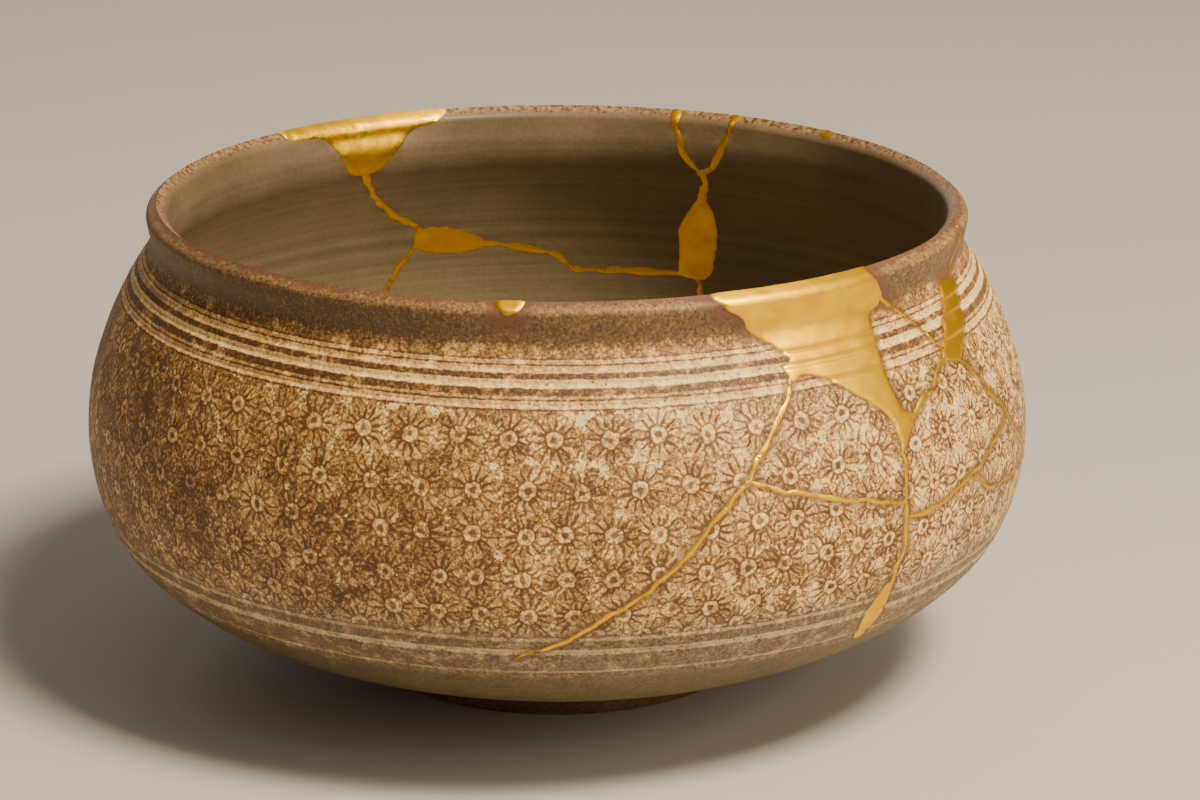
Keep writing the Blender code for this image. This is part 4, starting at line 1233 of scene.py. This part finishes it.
shader.inputs["Coat Roughness"].default_value = 0.3
relief = add(tree, "Math", {0: bands, 1: 0.12, 2: specks}, operation="MULTIPLY_ADD")
bump = add(tree, "Bump", {"Strength": 0.5, "Distance": 0.0001, "Height": relief})
tree.links.new(bump, shader.inputs["Normal"])
print(len(tree.nodes), "nodes make the olive glaze")

# %% [markdown]
# The foot ring and the broken edges show the bare body: coarse brown stoneware, dry to the touch,
# with grains of about half a millimetre and no shine.

# %% Bare stoneware
bare, tree, shader, place = new_finish("bare_stoneware")
GRAIN_MM, FLUSH_MM = 0.556, 14.3
grains = add(tree, "TexNoise", {
    "Vector": place, "Scale": 1 / GRAIN_MM, "Detail": 5.0, "Roughness": 0.7,
})
firing = add(tree, "TexNoise", {"Vector": place, "Scale": 1 / FLUSH_MM, "Detail": 3.0})
body_colour = add(tree, "ValToRGB", {0: grains}, stops=(
    (0.3, linear("#4f3624")), (0.5, linear("#74513a")), (0.72, linear("#94704f")),
))
flush = add(tree, "MapRange", {
    "Value": firing, "From Min": 0.35, "From Max": 0.65, "To Min": 0.8, "To Max": 1.1,
})
body_colour = add(tree, "Mix", {
    0: 1.0, 6: body_colour, 7: flush,
}, out=2, data_type="RGBA", blend_type="MULTIPLY")
tree.links.new(body_colour, shader.inputs["Base Color"])
rough = add(tree, "MapRange", {
    "Value": grains, "From Min": 0.3, "From Max": 0.7, "To Min": 0.75, "To Max": 0.92,
})
tree.links.new(rough, shader.inputs["Roughness"])
bump = add(tree, "Bump", {"Strength": 0.8, "Distance": 0.0002, "Height": grains})
tree.links.new(bump, shader.inputs["Normal"])
print(len(tree.nodes), "nodes make the bare stoneware")

# %% [markdown]
# The mends are lacquer dusted with gold powder and rubbed with a smooth stone. That gives a metal
# with a soft, slightly uneven shine: bright where the powder is thick, browner where the lacquer
# shows through it. It is metallic, and its wavering is in the roughness and a very low bump.

# %% Gold powder on lacquer
gold_finish, tree, shader, place = new_finish("burnished_gold_powder")
# Real gold powder is far finer than the render can show, so its grain is drawn 0.31 mm coarse.
STROKE_MM, POWDER_MM = 4.55, 0.3125
strokes = add(tree, "TexNoise", {
    "Vector": place, "Scale": 1 / STROKE_MM, "Detail": 4.0, "Roughness": 0.55,
})
powder = add(tree, "TexNoise", {
    "Vector": place, "Scale": 1 / POWDER_MM, "Detail": 3.0, "Roughness": 0.6,
})
thin = add(tree, "Math", {0: powder, 1: 0.25, 2: strokes}, operation="MULTIPLY_ADD")
gold_colour = add(tree, "ValToRGB", {0: thin}, stops=(
    (0.42, linear("#efb200")), (0.6, linear("#fac200")), (0.8, linear("#ffd200")),
))
edge_near = add(tree, "Attribute", out=2, attribute_name="from_gold")
edge_dark = add(tree, "MapRange", {
    "Value": edge_near, "From Min": 0.0, "From Max": 0.3, "To Min": 0.55, "To Max": 0.0,
})
gold_colour = add(tree, "Mix", {
    0: edge_dark, 6: gold_colour, 7: linear("#9a6420"),
}, out=2, data_type="RGBA")
tree.links.new(gold_colour, shader.inputs["Base Color"])
shader.inputs["Metallic"].default_value = 1.0
rough = add(tree, "MapRange", {
    "Value": thin, "From Min": 0.4, "From Max": 0.8, "To Min": 0.52, "To Max": 0.4,
})
tree.links.new(rough, shader.inputs["Roughness"])
relief = add(tree, "Math", {0: strokes, 1: 0.06}, operation="MULTIPLY")
relief = add(tree, "Math", {0: powder, 1: 0.012, 2: relief}, operation="MULTIPLY_ADD")
bump = add(tree, "Bump", {"Strength": 1.0, "Distance": 0.001, "Height": relief})
tree.links.new(bump, shader.inputs["Normal"])
print(len(tree.nodes), "nodes make the gold powder")

# %% Dressing the pieces
for name, piece in pieces.items():
    gold = name.startswith("gold")
    for finish in (gold_finish,) if gold else (inlaid, olive, bare):
        piece.data.materials.append(finish)
    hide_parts(name)
    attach(piece, "root")
print("dressed", len(pieces), "pieces")

# %% [markdown]
# The bowl is shown on a plain pale floor. A soft light stands high at the front right, as in the
# photo: it lights the inside of the wall on the left and leaves the right one dark. A weaker and
# wider one stands lower on the same side, a faint one behind keeps the rim apart from the floor,
# and the world's warm grey fills the shadows.

# %% Floor and lights
FLOOR_SIZE = 6.0
bpy.ops.mesh.primitive_grid_add(x_subdivisions=8, y_subdivisions=8, size=FLOOR_SIZE, location=(0, 0, 0))
floor = bpy.context.object
floor.name = "pale_floor"
floor_paint, tree, shader, place = new_finish("pale_paint")
shader.inputs["Base Color"].default_value = linear("#cfcac4")
shader.inputs["Roughness"].default_value = 0.7
floor.data.materials.append(floor_paint)


def soft_light(name, place, target, size, power, colour):
    """A square area light that faces a target."""
    lamp = bpy.data.lights.new(name, "AREA")
    lamp.size, lamp.energy, lamp.color = size, power, linear(colour)[:3]
    light = bpy.data.objects.new(name, lamp)
    light.location = place
    light.rotation_euler = (Vector(target) - Vector(place)).to_track_quat("-Z", "Y").to_euler()
    bpy.context.scene.collection.objects.link(light)
    return light


soft_light("key", (0.52, -0.48, 1.14), (0, 0, 0.05), 0.34, 28.0, "#ffebd0")
soft_light("side", (1.15, -0.7, 0.62), (0, 0, 0.06), 0.7, 7.5, "#ffeed8")
soft_light("back_fill", (-0.3, 1.4, 0.6), (0, 0, 0.05), 0.8, 2.5, "#f4efe6")
world = bpy.context.scene.world or bpy.data.worlds.new("room")
bpy.context.scene.world = world
world.use_nodes = True
back = world.node_tree.nodes.get("Background") or world.node_tree.nodes.new("ShaderNodeBackground")
back.inputs["Color"].default_value = linear("#b8a898")
back.inputs["Strength"].default_value = 0.37

# %% [markdown]
# The camera's place was worked out from the photo: the ellipses of the rim and the belly give its
# height above the bowl and the lens. The bowl stands a little left of the middle, which is a
# small sideways shift of the picture and no turn of the camera.

# %% Camera
LENS_PIXELS = 3884.7
SHIFT_PIXELS = 43
PHOTO_WIDTH = 1200
SENSOR_WIDTH = 36.0
ELEVATION = math.radians(17.165)
DISTANCE = 0.750
TARGET = Vector((0, 0, 0.0505))
camera_data = bpy.data.cameras.new("photo_view")
camera_data.sensor_width = SENSOR_WIDTH
camera_data.lens = LENS_PIXELS / PHOTO_WIDTH * SENSOR_WIDTH
camera_data.shift_x = SHIFT_PIXELS / PHOTO_WIDTH
camera = bpy.data.objects.new("photo_view", camera_data)
camera.location = TARGET + DISTANCE * Vector((0, -math.cos(ELEVATION), math.sin(ELEVATION)))
camera.rotation_euler = (TARGET - camera.location).to_track_quat("-Z", "Y").to_euler()
bpy.context.scene.collection.objects.link(camera)
bpy.context.scene.camera = camera
print(f"the lens is {camera_data.lens:.1f} mm long for a sensor {SENSOR_WIDTH:.0f} mm wide")
